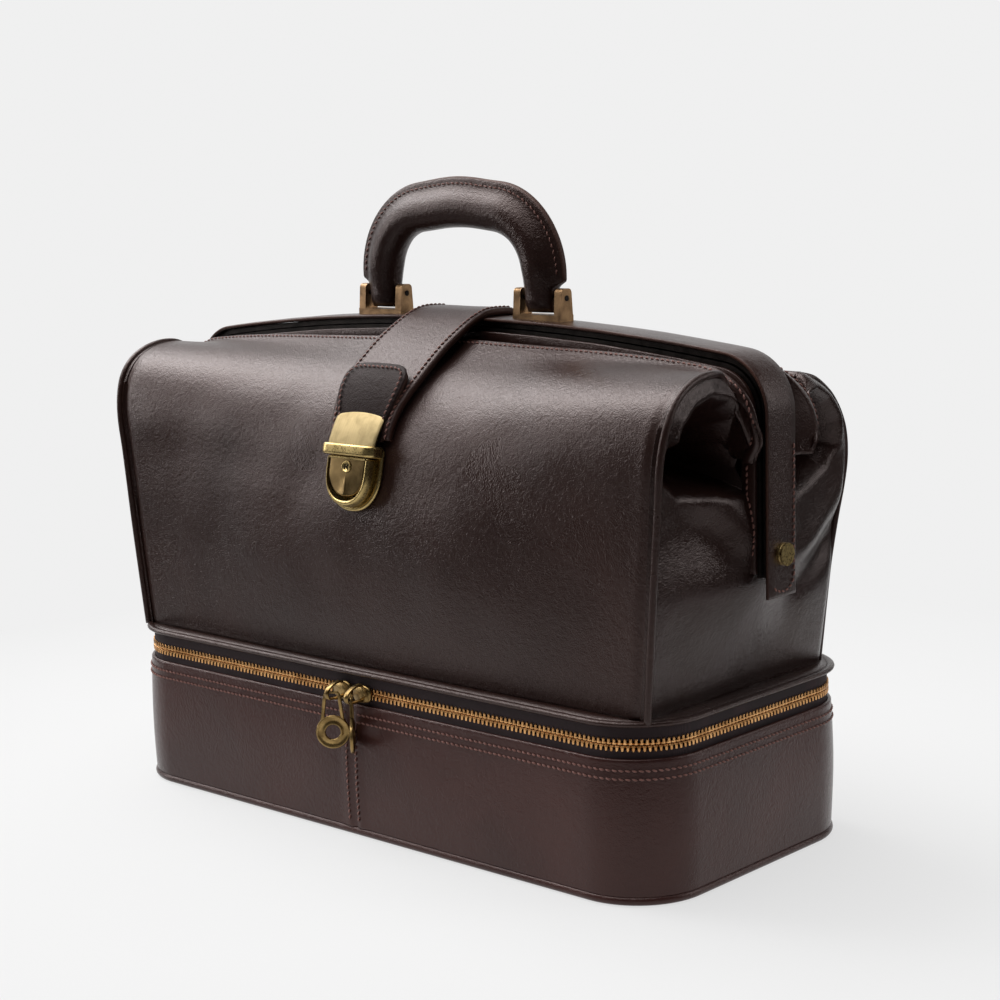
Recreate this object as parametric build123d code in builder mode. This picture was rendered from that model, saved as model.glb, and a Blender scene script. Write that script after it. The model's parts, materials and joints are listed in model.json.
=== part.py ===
"""Leather doctor bag with a hinged frame mouth and a zipped lower tray.

X runs along the bag, -Y is the front with the lock, +Z is up. The origin is on
the floor under the middle of the tray. All sizes are in millimetres.

The bag stands on a shallow tray. The upper bag is zipped to the tray round the
front and ends, and hinged to it by a leather strip at the back. Two U-shaped
steel jaws, pivoted on a rivet at each end, make the mouth. The rear jaw carries
the broad leather band, the handle and the closing strap, and the strap's metal
tongue goes into the lock on the front panel.
"""

import os
from math import cos, radians, sin

from build123d import *

os.makedirs("parts", exist_ok=True)

# ---- driving dimensions -----------------------------------------------------
LEATHER = 2.2  # outer leather with its backing

TRAY_LENGTH = 390.0
TRAY_DEPTH = 178.0
TRAY_CORNER = 38.0
TRAY_TOP = 72.0  # folded top edge of the tray's leather

ZIP_Z = 78.5  # where the two rows of teeth meet
ZIP_PITCH = 2.8
ZIP_INSET = 2.7  # from the tray's outline in to the middle of the tape
ZIP_END = 122.0  # the zip stops this far from the middle of the back
ROW_GAP = 0.3

WELT_LOW = 87.8
WELT_HIGH = 90.2
BODY_LOW = 90.4  # foot of the upper leather

PIVOT_Z = 161.0  # frame rivets
RIVET_RADIUS = 2.5
FRAME_HALF = 208.0  # outer face of the leather band
FRAME_ARCH_Z = 270.0  # band's top at the middle
FRAME_SHOULDER_Z = 255.0  # the same arch at its ends, before the corner
FRAME_CORNER = 30.0
BAND_LOW = 140.0
BAND_HALF = 11.5

HANDLE_PIN_Z = 280.5
HANDLE_PIN_X = 57.0
HANDLE_TOP_Z = 326.0  # middle of the grip roll
GRIP_RADIUS = 10.0
FIN_HEIGHT = 7.0

STRAP_WIDTH = 54.0
STRAP_THICK = 3.6

LOCK_LEAN = 12.0  # the lock lies on the front panel, leaning back from vertical
LOCK_Y = -85.1
LOCK_Z = 199.0
LOCK_WIDTH = 38.0
LOCK_SCREW_RADIUS = 1.2

# ---- outlines of the front leather in the YZ plane --------------------------
# (y, z) on the outer surface. The ends stand squarer than the middle, which the
# closing strap pulls back.
WALL_MIDDLE = [
    (-80.0, 90.4), (-84.5, 118), (-86.8, 148), (-86.2, 172), (-82.0, 192), (-78.9, 206), (-73.5, 218),
]
WALL_END = [(-78.5, 90.4), (-81.5, 118), (-84.0, 148), (-85.2, 172), (-85.5, 192), (-85, 208), (-83, 221)]
ROOF_MIDDLE = [(-72.9, 219.2), (-66, 228), (-58, 236), (-48, 243), (-36, 249.4), (-22, 256), (-17, 258.6)]
ROOF_END = [(-82.5, 222.4), (-78.5, 231), (-69, 240), (-56, 246), (-40, 249.6), (-22, 251), (-17, 251)]
PANEL_END_LOW = 184.0  # half length of the panels at their foot
PANEL_END_HIGH = 195.0  # and at END_Z
END_Z = 205.0


def save(part, name):
    """Labels a finished piece and writes it as its own node."""
    part.label = name
    export_step(part, f"parts/{name}.step")


def inward(points, thickness):
    """The same outline drawn in by a thickness, towards the inside of the bag."""
    moved = []
    for i, (y, z) in enumerate(points):
        before = points[max(i - 1, 0)]
        after = points[min(i + 1, len(points) - 1)]
        along = Vector(after[0] - before[0], after[1] - before[1]).normalized()
        moved.append((y + along.Y * thickness, z - along.X * thickness))
    return moved


def sheet_face(points, thickness, x):
    """A thin closed profile, standing in the plane at x."""
    inner = inward(points, thickness)
    with BuildSketch(Plane.YZ.offset(x)) as profile:
        with BuildLine():
            Spline(*points)
            Line(points[-1], inner[-1])
            Spline(*inner)
            Line(inner[0], points[0])
        make_face()
    return profile.sketch.faces()[0]


def end_plane(side, clearance=0.0):
    """The slanted plane that the upper bag's panels end on, facing outward."""
    rise = END_Z - BODY_LOW
    spread = PANEL_END_HIGH - PANEL_END_LOW
    normal = Vector(side * rise, 0, -spread).normalized()
    return Plane(origin=(side * (PANEL_END_LOW - clearance), 0, BODY_LOW), z_dir=normal)


def panel(middle, ends):
    """A leather sheet whose profile changes from the middle to the two ends."""
    reach = PANEL_END_HIGH + 8
    with BuildPart() as sheet:
        add(sheet_face(ends, LEATHER, -reach))
        add(sheet_face(middle, LEATHER, 0))
        add(sheet_face(ends, LEATHER, reach))
        loft()
        for side in (-1, 1):
            split(bisect_by=end_plane(side), keep=Keep.BOTTOM)
    return sheet.part


def plan_block(inset, low, high):
    """A block with the tray's rounded plan, drawn in by inset."""
    with BuildPart() as block:
        with BuildSketch(Plane.XY.offset(low)):
            RectangleRounded(TRAY_LENGTH - 2 * inset, TRAY_DEPTH - 2 * inset, TRAY_CORNER - inset)
        extrude(amount=high - low)
    return block.part


def plan_ring(outer, inner, low, high):
    """A ring that follows the tray's plan, between two insets and two heights."""
    with BuildPart() as ring:
        add(plan_block(outer, low, high))
        add(plan_block(inner, low, high), mode=Mode.SUBTRACT)
    return ring.part


def frame_block(inset, low, front, back):
    """A block with the frame's arched outline in XZ, between two depths."""
    half = FRAME_HALF - inset
    shoulder = FRAME_SHOULDER_Z - inset
    with BuildPart() as block:
        with BuildSketch(Plane.XZ.offset(-back)) as outline:
            with BuildLine():
                ThreePointArc((-half, shoulder), (0, FRAME_ARCH_Z - inset), (half, shoulder))
                Polyline((half, shoulder), (half, low), (-half, low), (-half, shoulder))
            make_face()
            fillet(outline.vertices().group_by(Axis.Y)[-1], radius=FRAME_CORNER - inset)
        extrude(amount=back - front)
    return block.part


def frame_shell(outer, inner, low, front, back):
    """A U-shaped strip that follows the frame, between two insets."""
    with BuildPart() as shell:
        add(frame_block(outer, low, front, back))
        add(frame_block(inner, low - 1, front - 1, back + 1), mode=Mode.SUBTRACT)
    return shell.part


def strap_sheet(points, width_low, width_high, thickness):
    """A strap whose outer face follows points in YZ, trimmed to a taper in X."""
    inner = inward(points, thickness)
    with BuildPart() as strap:
        with BuildSketch(Plane.YZ.offset(-width_high / 2)):
            with BuildLine():
                Spline(*points)
                Line(points[-1], inner[-1])
                Spline(*inner)
                Line(inner[0], points[0])
            make_face()
        extrude(amount=width_high)
        low_z = points[0][1]
        taper_z = low_z + 40
        for side in (-1, 1):
            slope = Vector(side * (taper_z - low_z), 0, -(width_high - width_low) / 2).normalized()
            split(bisect_by=Plane(origin=(side * width_low / 2, 0, low_z), z_dir=slope), keep=Keep.BOTTOM)
    return strap.part


# ---- tray -------------------------------------------------------------------
PIPING_RADIUS = 2.3

with BuildPart() as tray_bottom:
    add(plan_block(3.0, 0, 2.2))
save(tray_bottom.part, "tray_bottom")

with BuildPart() as tray_board:
    add(plan_block(LEATHER + 1.5, 2.3, 5.0))
save(tray_board.part, "tray_board")

BEAD_INSET = PIPING_RADIUS - 1.0
with BuildSketch(Plane.XY.offset(PIPING_RADIUS + 0.1)) as bead_plan:
    RectangleRounded(TRAY_LENGTH - 2 * BEAD_INSET, TRAY_DEPTH - 2 * BEAD_INSET, TRAY_CORNER - BEAD_INSET)
bead_path = bead_plan.sketch.faces()[0].outer_wire()
with BuildPart() as tray_piping:
    with BuildSketch(Plane(origin=bead_path @ 0, z_dir=bead_path % 0)):
        Circle(PIPING_RADIUS)
    sweep(path=bead_path)
    add(plan_block(3.0, 0, 2.3), mode=Mode.SUBTRACT)
    add(plan_block(LEATHER + 1.4, 2.2, 6.0), mode=Mode.SUBTRACT)
save(tray_piping.part, "tray_piping")

WALL_LOW = 2 * PIPING_RADIUS + 0.2
for side, name in ((-1, "tray_left_wall"), (1, "tray_right_wall")):
    with BuildPart() as tray_wall:
        add(plan_ring(0, LEATHER, WALL_LOW, TRAY_TOP))
        split(bisect_by=Plane.YZ.offset(side * 0.1), keep=Keep.TOP if side > 0 else Keep.BOTTOM)
    save(tray_wall.part, name)

with BuildPart() as seam_backing:
    with BuildSketch(Plane.XY.offset(8)):
        for side in (-1, 1):
            with Locations((0, side * (TRAY_DEPTH / 2 - LEATHER - 0.6))):
                Rectangle(18, 1.0)
    extrude(amount=48)
save(seam_backing.part, "tray_seam_backing")

with BuildPart() as rear_hinge_strip:
    with BuildSketch(Plane.XY.offset(56)):
        with Locations((0, TRAY_DEPTH / 2 + 0.9)):
            Rectangle(2 * ZIP_END - 6, 1.5)
    extrude(amount=ZIP_Z - 56)
save(rear_hinge_strip.part, "rear_hinge_strip")


# ---- zip --------------------------------------------------------------------
TAPE_HALF = 0.4
ROW_HEIGHT = 3.1
TOOTH_THICK = 2.6
HEAD_HEIGHT = 1.0
ZIP_MIDDLE = -2.0  # where the two sliders meet
SLIDER_REACH = 7.4  # from there to the middle of each slider
SLIDER_LENGTH = 13.5
SLIDER_HEIGHT = 11.0


def zip_tape(low, high):
    """Half of the zip's tape: round the front and ends, and open at the back."""
    with BuildPart() as tape:
        add(plan_ring(ZIP_INSET - TAPE_HALF, ZIP_INSET + TAPE_HALF, low, high))
        with Locations((0, TRAY_DEPTH / 2, (low + high) / 2)):
            Box(2 * ZIP_END, TRAY_DEPTH / 2, high - low + 2, mode=Mode.SUBTRACT)
    return tape.part


def zip_teeth(rises):
    """One row of teeth. rises is 1 for the upper row and -1 for the lower one."""
    with BuildPart() as tooth:
        with BuildSketch(Plane.XZ.offset(-TOOTH_THICK / 2)):
            near = rises * ROW_GAP / 2
            neck = near + rises * HEAD_HEIGHT
            far = near + rises * ROW_HEIGHT
            with BuildLine():
                Polyline(
                    (-1.15, near), (1.15, near), (1.15, neck), (0.65, neck + rises * 0.5), (0.65, far),
                    (-0.65, far), (-0.65, neck + rises * 0.5), (-1.15, neck), close=True,
                )
            make_face()
        extrude(amount=TOOTH_THICK)
    half_x = TRAY_LENGTH / 2 - ZIP_INSET
    half_y = TRAY_DEPTH / 2 - ZIP_INSET
    with BuildLine() as row:
        FilletPolyline(
            (-ZIP_END - 4, half_y), (-half_x, half_y), (-half_x, -half_y),
            (half_x, -half_y), (half_x, half_y), (ZIP_END + 4, half_y),
            radius=TRAY_CORNER - ZIP_INSET,
        )
    path = row.wire()
    count = int(path.length / ZIP_PITCH)
    teeth = []
    for i in range(count):
        along = (i + 0.25 + 0.5 * (rises > 0)) * ZIP_PITCH
        point = path.position_at(along, position_mode=PositionMode.LENGTH)
        heading = path.tangent_at(along, position_mode=PositionMode.LENGTH)
        place = Plane(origin=point + Vector(0, 0, ZIP_Z), x_dir=heading, z_dir=(0, 0, 1))
        teeth.append(tooth.part.solid().moved(place.location))
    return Compound(children=teeth)


save(zip_tape(58, ZIP_Z - ROW_GAP / 2 - ROW_HEIGHT), "lower_zip_tape")
save(zip_tape(ZIP_Z + ROW_GAP / 2 + ROW_HEIGHT, WELT_LOW), "upper_zip_tape")
save(zip_teeth(-1), "lower_zip_teeth")
save(zip_teeth(1), "upper_zip_teeth")

PULL_Y = -97.2  # the middle of each puller's bar, inside the slider's loop
PULL_BAR = 0.75
DISC_RADIUS = 9.0
DISC_HOLE = 4.0
DISC_THICK = 1.6
DISC_DROP = 21.0
LOOP_WIDTH = 2.4
LOOP_OUTLINE = [
    (-89.9, 4.2), (-94.0, 4.6), (-99.2, 3.6), (-101.3, 1.6), (-101.3, -1.6), (-99.4, -3.2), (-89.9, -3.2),
]
LOOP_OPENING = [(-91.4, 2.4), (-99.0, 2.4), (-100.2, 1.3), (-100.2, -1.3), (-99.4, -2.2), (-91.4, -2.2)]

for side, name in ((-1, "left"), (1, "right")):
    centre_x = ZIP_MIDDLE + side * SLIDER_REACH
    with BuildPart() as slider:
        for depth, thick in ((88.0, 2.0), (83.2, 1.5)):
            with BuildSketch(Plane.XZ.offset(depth)):
                with Locations((centre_x, ZIP_Z)):
                    RectangleRounded(SLIDER_LENGTH, SLIDER_HEIGHT, 2.5)
            extrude(amount=thick)
        with BuildSketch(Plane.XZ.offset(87.3)):
            with Locations((centre_x, ZIP_Z - 5.1), (centre_x, ZIP_Z + 5.1)):
                Rectangle(SLIDER_LENGTH - 5, 0.8)
        extrude(amount=0.8)
        with BuildSketch(Plane.YZ.offset(centre_x - LOOP_WIDTH / 2)):
            with BuildLine():
                Polyline(*[(y, ZIP_Z + z) for y, z in LOOP_OUTLINE], close=True)
            make_face()
            with BuildLine():
                Polyline(*[(y, ZIP_Z + z) for y, z in LOOP_OPENING], close=True)
            make_face(mode=Mode.SUBTRACT)
        extrude(amount=LOOP_WIDTH)
    save(slider.part, f"{name}_slider")

for side, name, twist in ((-1, "left", 42.0), (1, "right", -47.0)):
    with BuildPart() as puller:
        with BuildSketch(Plane.YZ.offset(-3.6)):
            Circle(PULL_BAR)
        extrude(amount=7.2)
        with BuildSketch(Plane.XZ.offset(-PULL_BAR)):
            for hand in (-1, 1):
                with BuildLine():
                    Polyline(
                        (hand * 2.4, PULL_BAR), (hand * 3.9, PULL_BAR), (hand * 5.9, -13.9),
                        (hand * 4.0, -14.6), close=True,
                    )
                make_face()
        extrude(amount=2 * PULL_BAR)
        with BuildSketch(Plane.XZ.offset(-DISC_THICK / 2)):
            with Locations((0, -DISC_DROP)):
                Circle(DISC_RADIUS)
                Circle(DISC_HOLE, mode=Mode.SUBTRACT)
        extrude(amount=DISC_THICK)
    hang = Location((ZIP_MIDDLE + side * SLIDER_REACH, PULL_Y, ZIP_Z), (0, 0, twist))
    save(puller.part.moved(hang), f"{name}_puller")


# ---- floor of the upper bag -------------------------------------------------
with BuildPart() as base_welt:
    add(plan_ring(-1.0, 16.0, WELT_LOW, WELT_HIGH))
save(base_welt.part, "base_welt")

with BuildPart() as base_board:
    add(plan_block(ZIP_INSET + TAPE_HALF + 0.6, 85.5, WELT_LOW - 0.05))
save(base_board.part, "base_board")

with BuildPart() as divider_lining:
    add(plan_block(ZIP_INSET + TAPE_HALF + 1.0, 84.5, 85.4))
save(divider_lining.part, "divider_lining")

with BuildPart() as floor_lining:
    add(plan_block(16.5, WELT_LOW, WELT_LOW + 1.0))
save(floor_lining.part, "floor_lining")

# ---- lock on the front panel ------------------------------------------------
# In the lock's plane x runs along the bag, y runs up the panel and z points out.
LOCK_OUTWARD = (0, -cos(radians(LOCK_LEAN)), sin(radians(LOCK_LEAN)))
LOCK_PLANE = Plane(origin=(0, LOCK_Y, LOCK_Z), x_dir=(1, 0, 0), z_dir=LOCK_OUTWARD)
LOCK_SCREWS = [(-13, 6), (13, 6), (-11, -10), (11, -10)]
BASE_BACK = -3.85
BASE_FRONT = -1.9
CASE_FRONT = 4.6
THUMB_BACK = 1.0
THUMB_FRONT = 3.4
THUMB_TRAVEL = 1.6
KEY_HEIGHT = -2.0
KEY_RADIUS = 3.2


def shield(width, top, shoulder, tip):
    """A flat-topped outline that narrows to a rounded tip."""
    with BuildSketch() as outline:
        with BuildLine():
            Polyline((-width / 2, shoulder), (-width / 2, top), (width / 2, top), (width / 2, shoulder))
            Spline((width / 2, shoulder), (0, tip), (-width / 2, shoulder), tangents=[(0, -1), (0, 1)])
        make_face()
    return outline.sketch


def on_lock(outline, back, front):
    """Extrudes an outline between two heights over the lock's plane."""
    with BuildPart() as plate:
        with BuildSketch(LOCK_PLANE.offset(back)):
            add(outline)
        extrude(amount=front - back)
    return plate.part


with BuildPart() as lock_base:
    add(on_lock(shield(LOCK_WIDTH, 10.0, -3.0, -24.5), BASE_BACK, BASE_FRONT))
    with Locations(LOCK_PLANE):
        with Locations(*[(x, v, -3) for x, v in LOCK_SCREWS]):
            Cylinder(LOCK_SCREW_RADIUS + 0.05, 6, mode=Mode.SUBTRACT)
save(lock_base.part, "lock_base")

with BuildPart() as lock_case:
    add(on_lock(shield(30.4, 3.2, -3.0, -20.4), BASE_FRONT + 0.02, CASE_FRONT))
    add(on_lock(shield(27.2, 3.2 + 1, -3.0, -18.7), THUMB_BACK - 1.0, CASE_FRONT + 1), mode=Mode.SUBTRACT)
    with Locations(LOCK_PLANE):
        with Locations(*[(x, v, -1) for x, v in LOCK_SCREWS]):
            Cylinder(LOCK_SCREW_RADIUS + 1.2, 3.2, mode=Mode.SUBTRACT)
save(lock_case.part, "lock_case")

LOOP_FOOT = LOCK_PLANE.from_local_coords((0, 3.5, 0))
with BuildPart() as lock_loop:
    with BuildSketch(Plane(origin=LOOP_FOOT, x_dir=(1, 0, 0), z_dir=LOCK_PLANE.y_dir)):
        with Locations((0, -(BASE_FRONT + 7.6) / 2)):
            RectangleRounded(LOCK_WIDTH, 7.6 - BASE_FRONT - 0.04, 3.0)
        with Locations((0, -(BASE_FRONT + 4.4) / 2 + 0.4)):
            Rectangle(LOCK_WIDTH - 6.4, 4.4 - BASE_FRONT + 0.8, mode=Mode.SUBTRACT)
    extrude(amount=6.5)
save(lock_loop.part, "lock_loop")

with BuildPart() as lock_thumb_plate:
    add(on_lock(shield(26.4, 2.8, -3.0, -16.8), THUMB_BACK, THUMB_FRONT))
    with Locations(LOCK_PLANE):
        with Locations((0, KEY_HEIGHT, 2)):
            Cylinder(KEY_RADIUS + 0.05, 6, mode=Mode.SUBTRACT)
save(lock_thumb_plate.part, "lock_thumb_plate")

with BuildPart() as key_cylinder:
    with Locations(LOCK_PLANE):
        with Locations((0, KEY_HEIGHT, 2.3)):
            Cylinder(KEY_RADIUS, 3.4)
        with Locations((0, KEY_HEIGHT, 3.6)):
            Box(1.0, 3.4, 1.4, mode=Mode.SUBTRACT)
save(key_cylinder.part, "key_cylinder")

SPRING_BOW = [(-15, 0.2), (-11, 0.7), (-7, 0.2)]  # (up, outward) on the lock's plane
with BuildPart() as lock_spring:
    with BuildSketch(Plane.YZ.offset(-3)):
        with BuildLine():
            spring_line = [LOCK_PLANE.from_local_coords((0, v, w)) for v, w in SPRING_BOW]
            spring_arc = ThreePointArc(*[(p.Y, p.Z) for p in spring_line])
            offset(spring_arc, amount=0.15, side=Side.BOTH)
        make_face()
    extrude(amount=6)
save(lock_spring.part, "lock_spring")

with BuildPart() as lock_back_plate:
    with Locations(LOCK_PLANE):
        with Locations((0, -2, -7.9)):
            Box(32, 24, 1.2)
        with Locations(*[(x, v, -7) for x, v in LOCK_SCREWS]):
            Cylinder(LOCK_SCREW_RADIUS + 0.05, 6, mode=Mode.SUBTRACT)
save(lock_back_plate.part, "lock_back_plate")

with BuildPart() as lock_screws:
    with Locations(LOCK_PLANE):
        with Locations(*[(x, v, -4.8) for x, v in LOCK_SCREWS]):
            Cylinder(LOCK_SCREW_RADIUS, 8.4)
        with Locations(*[(x, v, -1.2) for x, v in LOCK_SCREWS]):
            Cylinder(LOCK_SCREW_RADIUS + 0.9, 1.2)
save(lock_screws.part, "lock_screws")

# ---- leather of the upper bag -----------------------------------------------
plain_wall = panel(WALL_MIDDLE, WALL_END)
with BuildPart() as front_panel:
    add(plain_wall)
    with Locations(LOCK_PLANE):
        with Locations(*[(x, v, -5) for x, v in LOCK_SCREWS]):
            Cylinder(LOCK_SCREW_RADIUS + 0.05, 12, mode=Mode.SUBTRACT)
save(front_panel.part, "front_panel")
save(mirror(plain_wall, about=Plane.XZ), "rear_panel")
front_roof = panel(ROOF_MIDDLE, ROOF_END)
save(front_roof, "front_panel_top")
save(mirror(front_roof, about=Plane.XZ), "rear_panel_top")

GUSSET_TOP = 172.0
FOLD_LINE = [(189.2, 172.8), (181, 188), (169, 203), (166, 218), (172, 230), (182, 235)]  # (x, z)


def gusset_fold(side):
    """The pleat above a gusset's front half, which tucks in under the roof leather."""
    outer = [(side * x, z) for x, z in FOLD_LINE]
    inner = [(side * (x - LEATHER), z + 0.4) for x, z in FOLD_LINE]
    with BuildPart() as fold:
        with BuildSketch(Plane.XZ.offset(67)):
            with BuildLine():
                Spline(*outer)
                Line(outer[-1], inner[-1])
                Spline(*inner)
                Line(inner[0], outer[0])
            make_face()
        extrude(amount=-48)
    return fold.part


for side, name in ((-1, "left"), (1, "right")):
    with BuildPart() as gusset:
        with Locations((side * 180, 0, (BODY_LOW + GUSSET_TOP) / 2)):
            Box(60, 152, GUSSET_TOP - BODY_LOW)
        split(bisect_by=end_plane(side, 1.0), keep=Keep.BOTTOM)
        split(bisect_by=end_plane(side, 1.0 + LEATHER), keep=Keep.TOP)
        with Locations(Plane(origin=(side * 188, 0, PIVOT_Z), z_dir=(1, 0, 0))):
            Cylinder(RIVET_RADIUS + 0.1, 20, mode=Mode.SUBTRACT)
    save(gusset.part, f"{name}_gusset")

    fold_part = gusset_fold(side)
    save(fold_part, f"{name}_gusset_front_fold")
    save(mirror(fold_part, about=Plane.XZ), f"{name}_gusset_rear_fold")


def corner_piping(side):
    """The corded seam between the front panel and an end gusset."""
    seam = [p for p in WALL_END if p[1] > 95] + ROOF_END[1:4]
    spread = (PANEL_END_HIGH - PANEL_END_LOW) / (END_Z - BODY_LOW)
    route = []
    for y, z in seam:
        route.append((side * (PANEL_END_LOW + spread * (z - BODY_LOW) + 2.3), y, z))
    with BuildPart() as piping:
        with BuildLine():
            line = Spline(*route)
        with BuildSketch(Plane(origin=line @ 0, z_dir=line % 0)):
            Circle(2.0)
        sweep(path=line)
    return piping.part


for side, name in ((-1, "left"), (1, "right")):
    piping_part = corner_piping(side)
    save(piping_part, f"{name}_front_piping")
    save(mirror(piping_part, about=Plane.XZ), f"{name}_rear_piping")


# ---- frame ------------------------------------------------------------------
def pivot_axis(x):
    """A plane across the frame's rivet, facing along the bag."""
    return Plane(origin=(x, 0, PIVOT_Z), z_dir=(1, 0, 0))


def with_rivet_holes(strip):
    """The same U-shaped strip with a running hole for the rivet in each arm."""
    with BuildPart() as drilled:
        add(strip)
        for side in (-1, 1):
            with Locations(pivot_axis(side * (FRAME_HALF - 4))):
                Cylinder(RIVET_RADIUS + 0.05, 20, mode=Mode.SUBTRACT)
    return drilled.part


JAW_LOW = 150.0
BRACKET_X = 58.0
BRACKET_GAP = 23.6
EAR_THICK = 4.7
EAR_TOP = HANDLE_PIN_Z + 5.0
BRACKET_RIVETS = [(side * (BRACKET_X + dx), 4.0) for side in (-1, 1) for dx in (-8, 8)]
PIN_RADIUS = 1.5


def with_bracket_holes(strip):
    """The same strip with the holes for the handle brackets' rivets."""
    with BuildPart() as drilled:
        add(strip)
        with Locations(*[(x, y, FRAME_ARCH_Z) for x, y in BRACKET_RIVETS]):
            Cylinder(1.55, 30, mode=Mode.SUBTRACT)
    return drilled.part


band = frame_shell(0, 2.0, BAND_LOW, -BAND_HALF, BAND_HALF)
save(with_bracket_holes(with_rivet_holes(band)), "frame_band")
rear_strip = frame_shell(2.05, 4.6, JAW_LOW, -9.0, 9.0)
save(with_bracket_holes(with_rivet_holes(rear_strip)), "rear_jaw")
save(frame_shell(2.1, 15.0, 176.0, 9.1, 11.4), "rear_jaw_facing")

with BuildPart() as front_strip:
    add(frame_shell(5.2, 7.7, JAW_LOW, -10.0, -1.2))
    for side in (-1, 1):
        with Locations((side * (FRAME_HALF - 6.45), -2.0, PIVOT_Z)):
            Box(2.5, 16.0, 18.0)
save(with_rivet_holes(front_strip.part), "front_jaw")
save(frame_shell(6.9, 15.0, 152.0, -12.6, -10.1), "front_jaw_facing")

# Steps of the frame's rivet: (inner end, outer end, radius) along the bag.
RIVET_STEPS = [
    (185.3, 186.8, 4.6), (186.8, 208.1, RIVET_RADIUS), (193.1, 200.2, 5.0), (208.06, 211.4, 5.6),
]

with BuildPart() as frame_rivets:
    for side in (-1, 1):
        for near, far, radius in RIVET_STEPS:
            with Locations(pivot_axis(side * (near + far) / 2)):
                Cylinder(radius, far - near)
save(frame_rivets.part, "frame_rivets")


def pivot_patch(side):
    """The stack of leather that the rivet goes through, outside the gusset."""
    with BuildPart() as patch:
        with Locations((side * 191, 0, 162)):
            Box(20, 17, 26)
        split(bisect_by=end_plane(side, -1.5), keep=Keep.BOTTOM)
        split(bisect_by=end_plane(side, 0.95), keep=Keep.TOP)
        with Locations(pivot_axis(side * 191)):
            Cylinder(RIVET_RADIUS + 0.1, 20, mode=Mode.SUBTRACT)
    return patch.part


with BuildPart() as pivot_patches:
    add(pivot_patch(-1))
    add(pivot_patch(1))
save(pivot_patches.part, "pivot_patches")

# ---- handle and its brackets ------------------------------------------------
for side, name in ((-1, "left"), (1, "right")):
    with BuildPart() as bracket:
        with Locations((side * BRACKET_X, 0, 269.0)):
            Box(BRACKET_GAP + 2 * EAR_THICK, 10.5, 5.6)
        for ear in (-1, 1):
            inner = BRACKET_GAP / 2 if ear > 0 else -BRACKET_GAP / 2 - EAR_THICK
            with BuildSketch(Plane.YZ.offset(side * BRACKET_X + inner)) as ear_outline:
                with BuildLine():
                    Polyline((-5.0, 270), (5.0, 270), (3.9, EAR_TOP), (-3.9, EAR_TOP), close=True)
                make_face()
                fillet(ear_outline.vertices().group_by(Axis.Y)[-1], radius=2.5)
            extrude(amount=EAR_THICK)
        add(frame_block(-0.05, 200, -20, 20), mode=Mode.SUBTRACT)
        with Locations(Plane(origin=(side * BRACKET_X, 0, HANDLE_PIN_Z), z_dir=(1, 0, 0))):
            Cylinder(PIN_RADIUS + 0.03, 60, mode=Mode.SUBTRACT)
        with Locations(*[(x, y, 266) for x, y in BRACKET_RIVETS]):
            Cylinder(1.53, 9, mode=Mode.SUBTRACT)
    save(bracket.part, f"{name}_handle_bracket")

with BuildPart() as bracket_rivets:
    for x, y in BRACKET_RIVETS:
        top = 270.3
        under = FRAME_ARCH_Z - 15.0 * (x / FRAME_HALF) ** 2 - 4.8
        with Locations((x, y, (under + top) / 2)):
            Cylinder(1.5, top - under)
        with Locations((x, y, under - 0.7)):
            Cylinder(2.8, 1.4)
save(bracket_rivets.part, "bracket_rivets")

with BuildPart() as handle_pins:
    for side in (-1, 1):
        reach = BRACKET_GAP + 2 * EAR_THICK + 0.6
        with Locations(Plane(origin=(side * BRACKET_X, 0, HANDLE_PIN_Z), z_dir=(1, 0, 0))):
            Cylinder(PIN_RADIUS, reach)
save(handle_pins.part, "handle_pins")

with BuildLine() as grip_line:
    FilletPolyline(
        (-HANDLE_PIN_X, 272), (-HANDLE_PIN_X, 320.5), (0, HANDLE_TOP_Z + 1.5), (HANDLE_PIN_X, 320.5),
        (HANDLE_PIN_X, 272),
        radius=[33, 110, 33],
    )
grip_path = grip_line.wire().moved(Location((0, 0, 0), (90, 0, 0)))
foot = Plane(origin=grip_path @ 0, x_dir=(1, 0, 0), z_dir=grip_path % 0)


def handle_ends():
    """The room that the handle keeps to, with narrow rounded feet over the pins."""
    with BuildPart() as room:
        with BuildSketch(Plane.YZ.offset(-100)):
            with BuildLine():
                low_arc = ThreePointArc((-7.8, HANDLE_PIN_Z), (0, HANDLE_PIN_Z - 7.8), (7.8, HANDLE_PIN_Z))
                Polyline(
                    (7.8, HANDLE_PIN_Z), (10.4, HANDLE_PIN_Z + 12), (10.4, 360), (-10.4, 360),
                    (-10.4, HANDLE_PIN_Z + 12), (-7.8, HANDLE_PIN_Z),
                )
            make_face()
        extrude(amount=200)
    return room.part


def eye_holes(radius):
    """Bores through both feet of the handle, along the pins."""
    with BuildPart() as bores:
        for side in (-1, 1):
            with Locations(Plane(origin=(side * HANDLE_PIN_X, 0, HANDLE_PIN_Z), z_dir=(1, 0, 0))):
                Cylinder(radius, 40)
    return bores.part


CORE_RADIUS = 7.4
with BuildPart() as handle_core:
    with BuildSketch(foot):
        Circle(CORE_RADIUS)
    sweep(path=grip_path)
    with Locations((0, 0, HANDLE_PIN_Z - 50)):
        Box(200, 40, 92, mode=Mode.SUBTRACT)
    add(eye_holes(2.65), mode=Mode.SUBTRACT)
save(handle_core.part, "handle_core")

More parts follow.
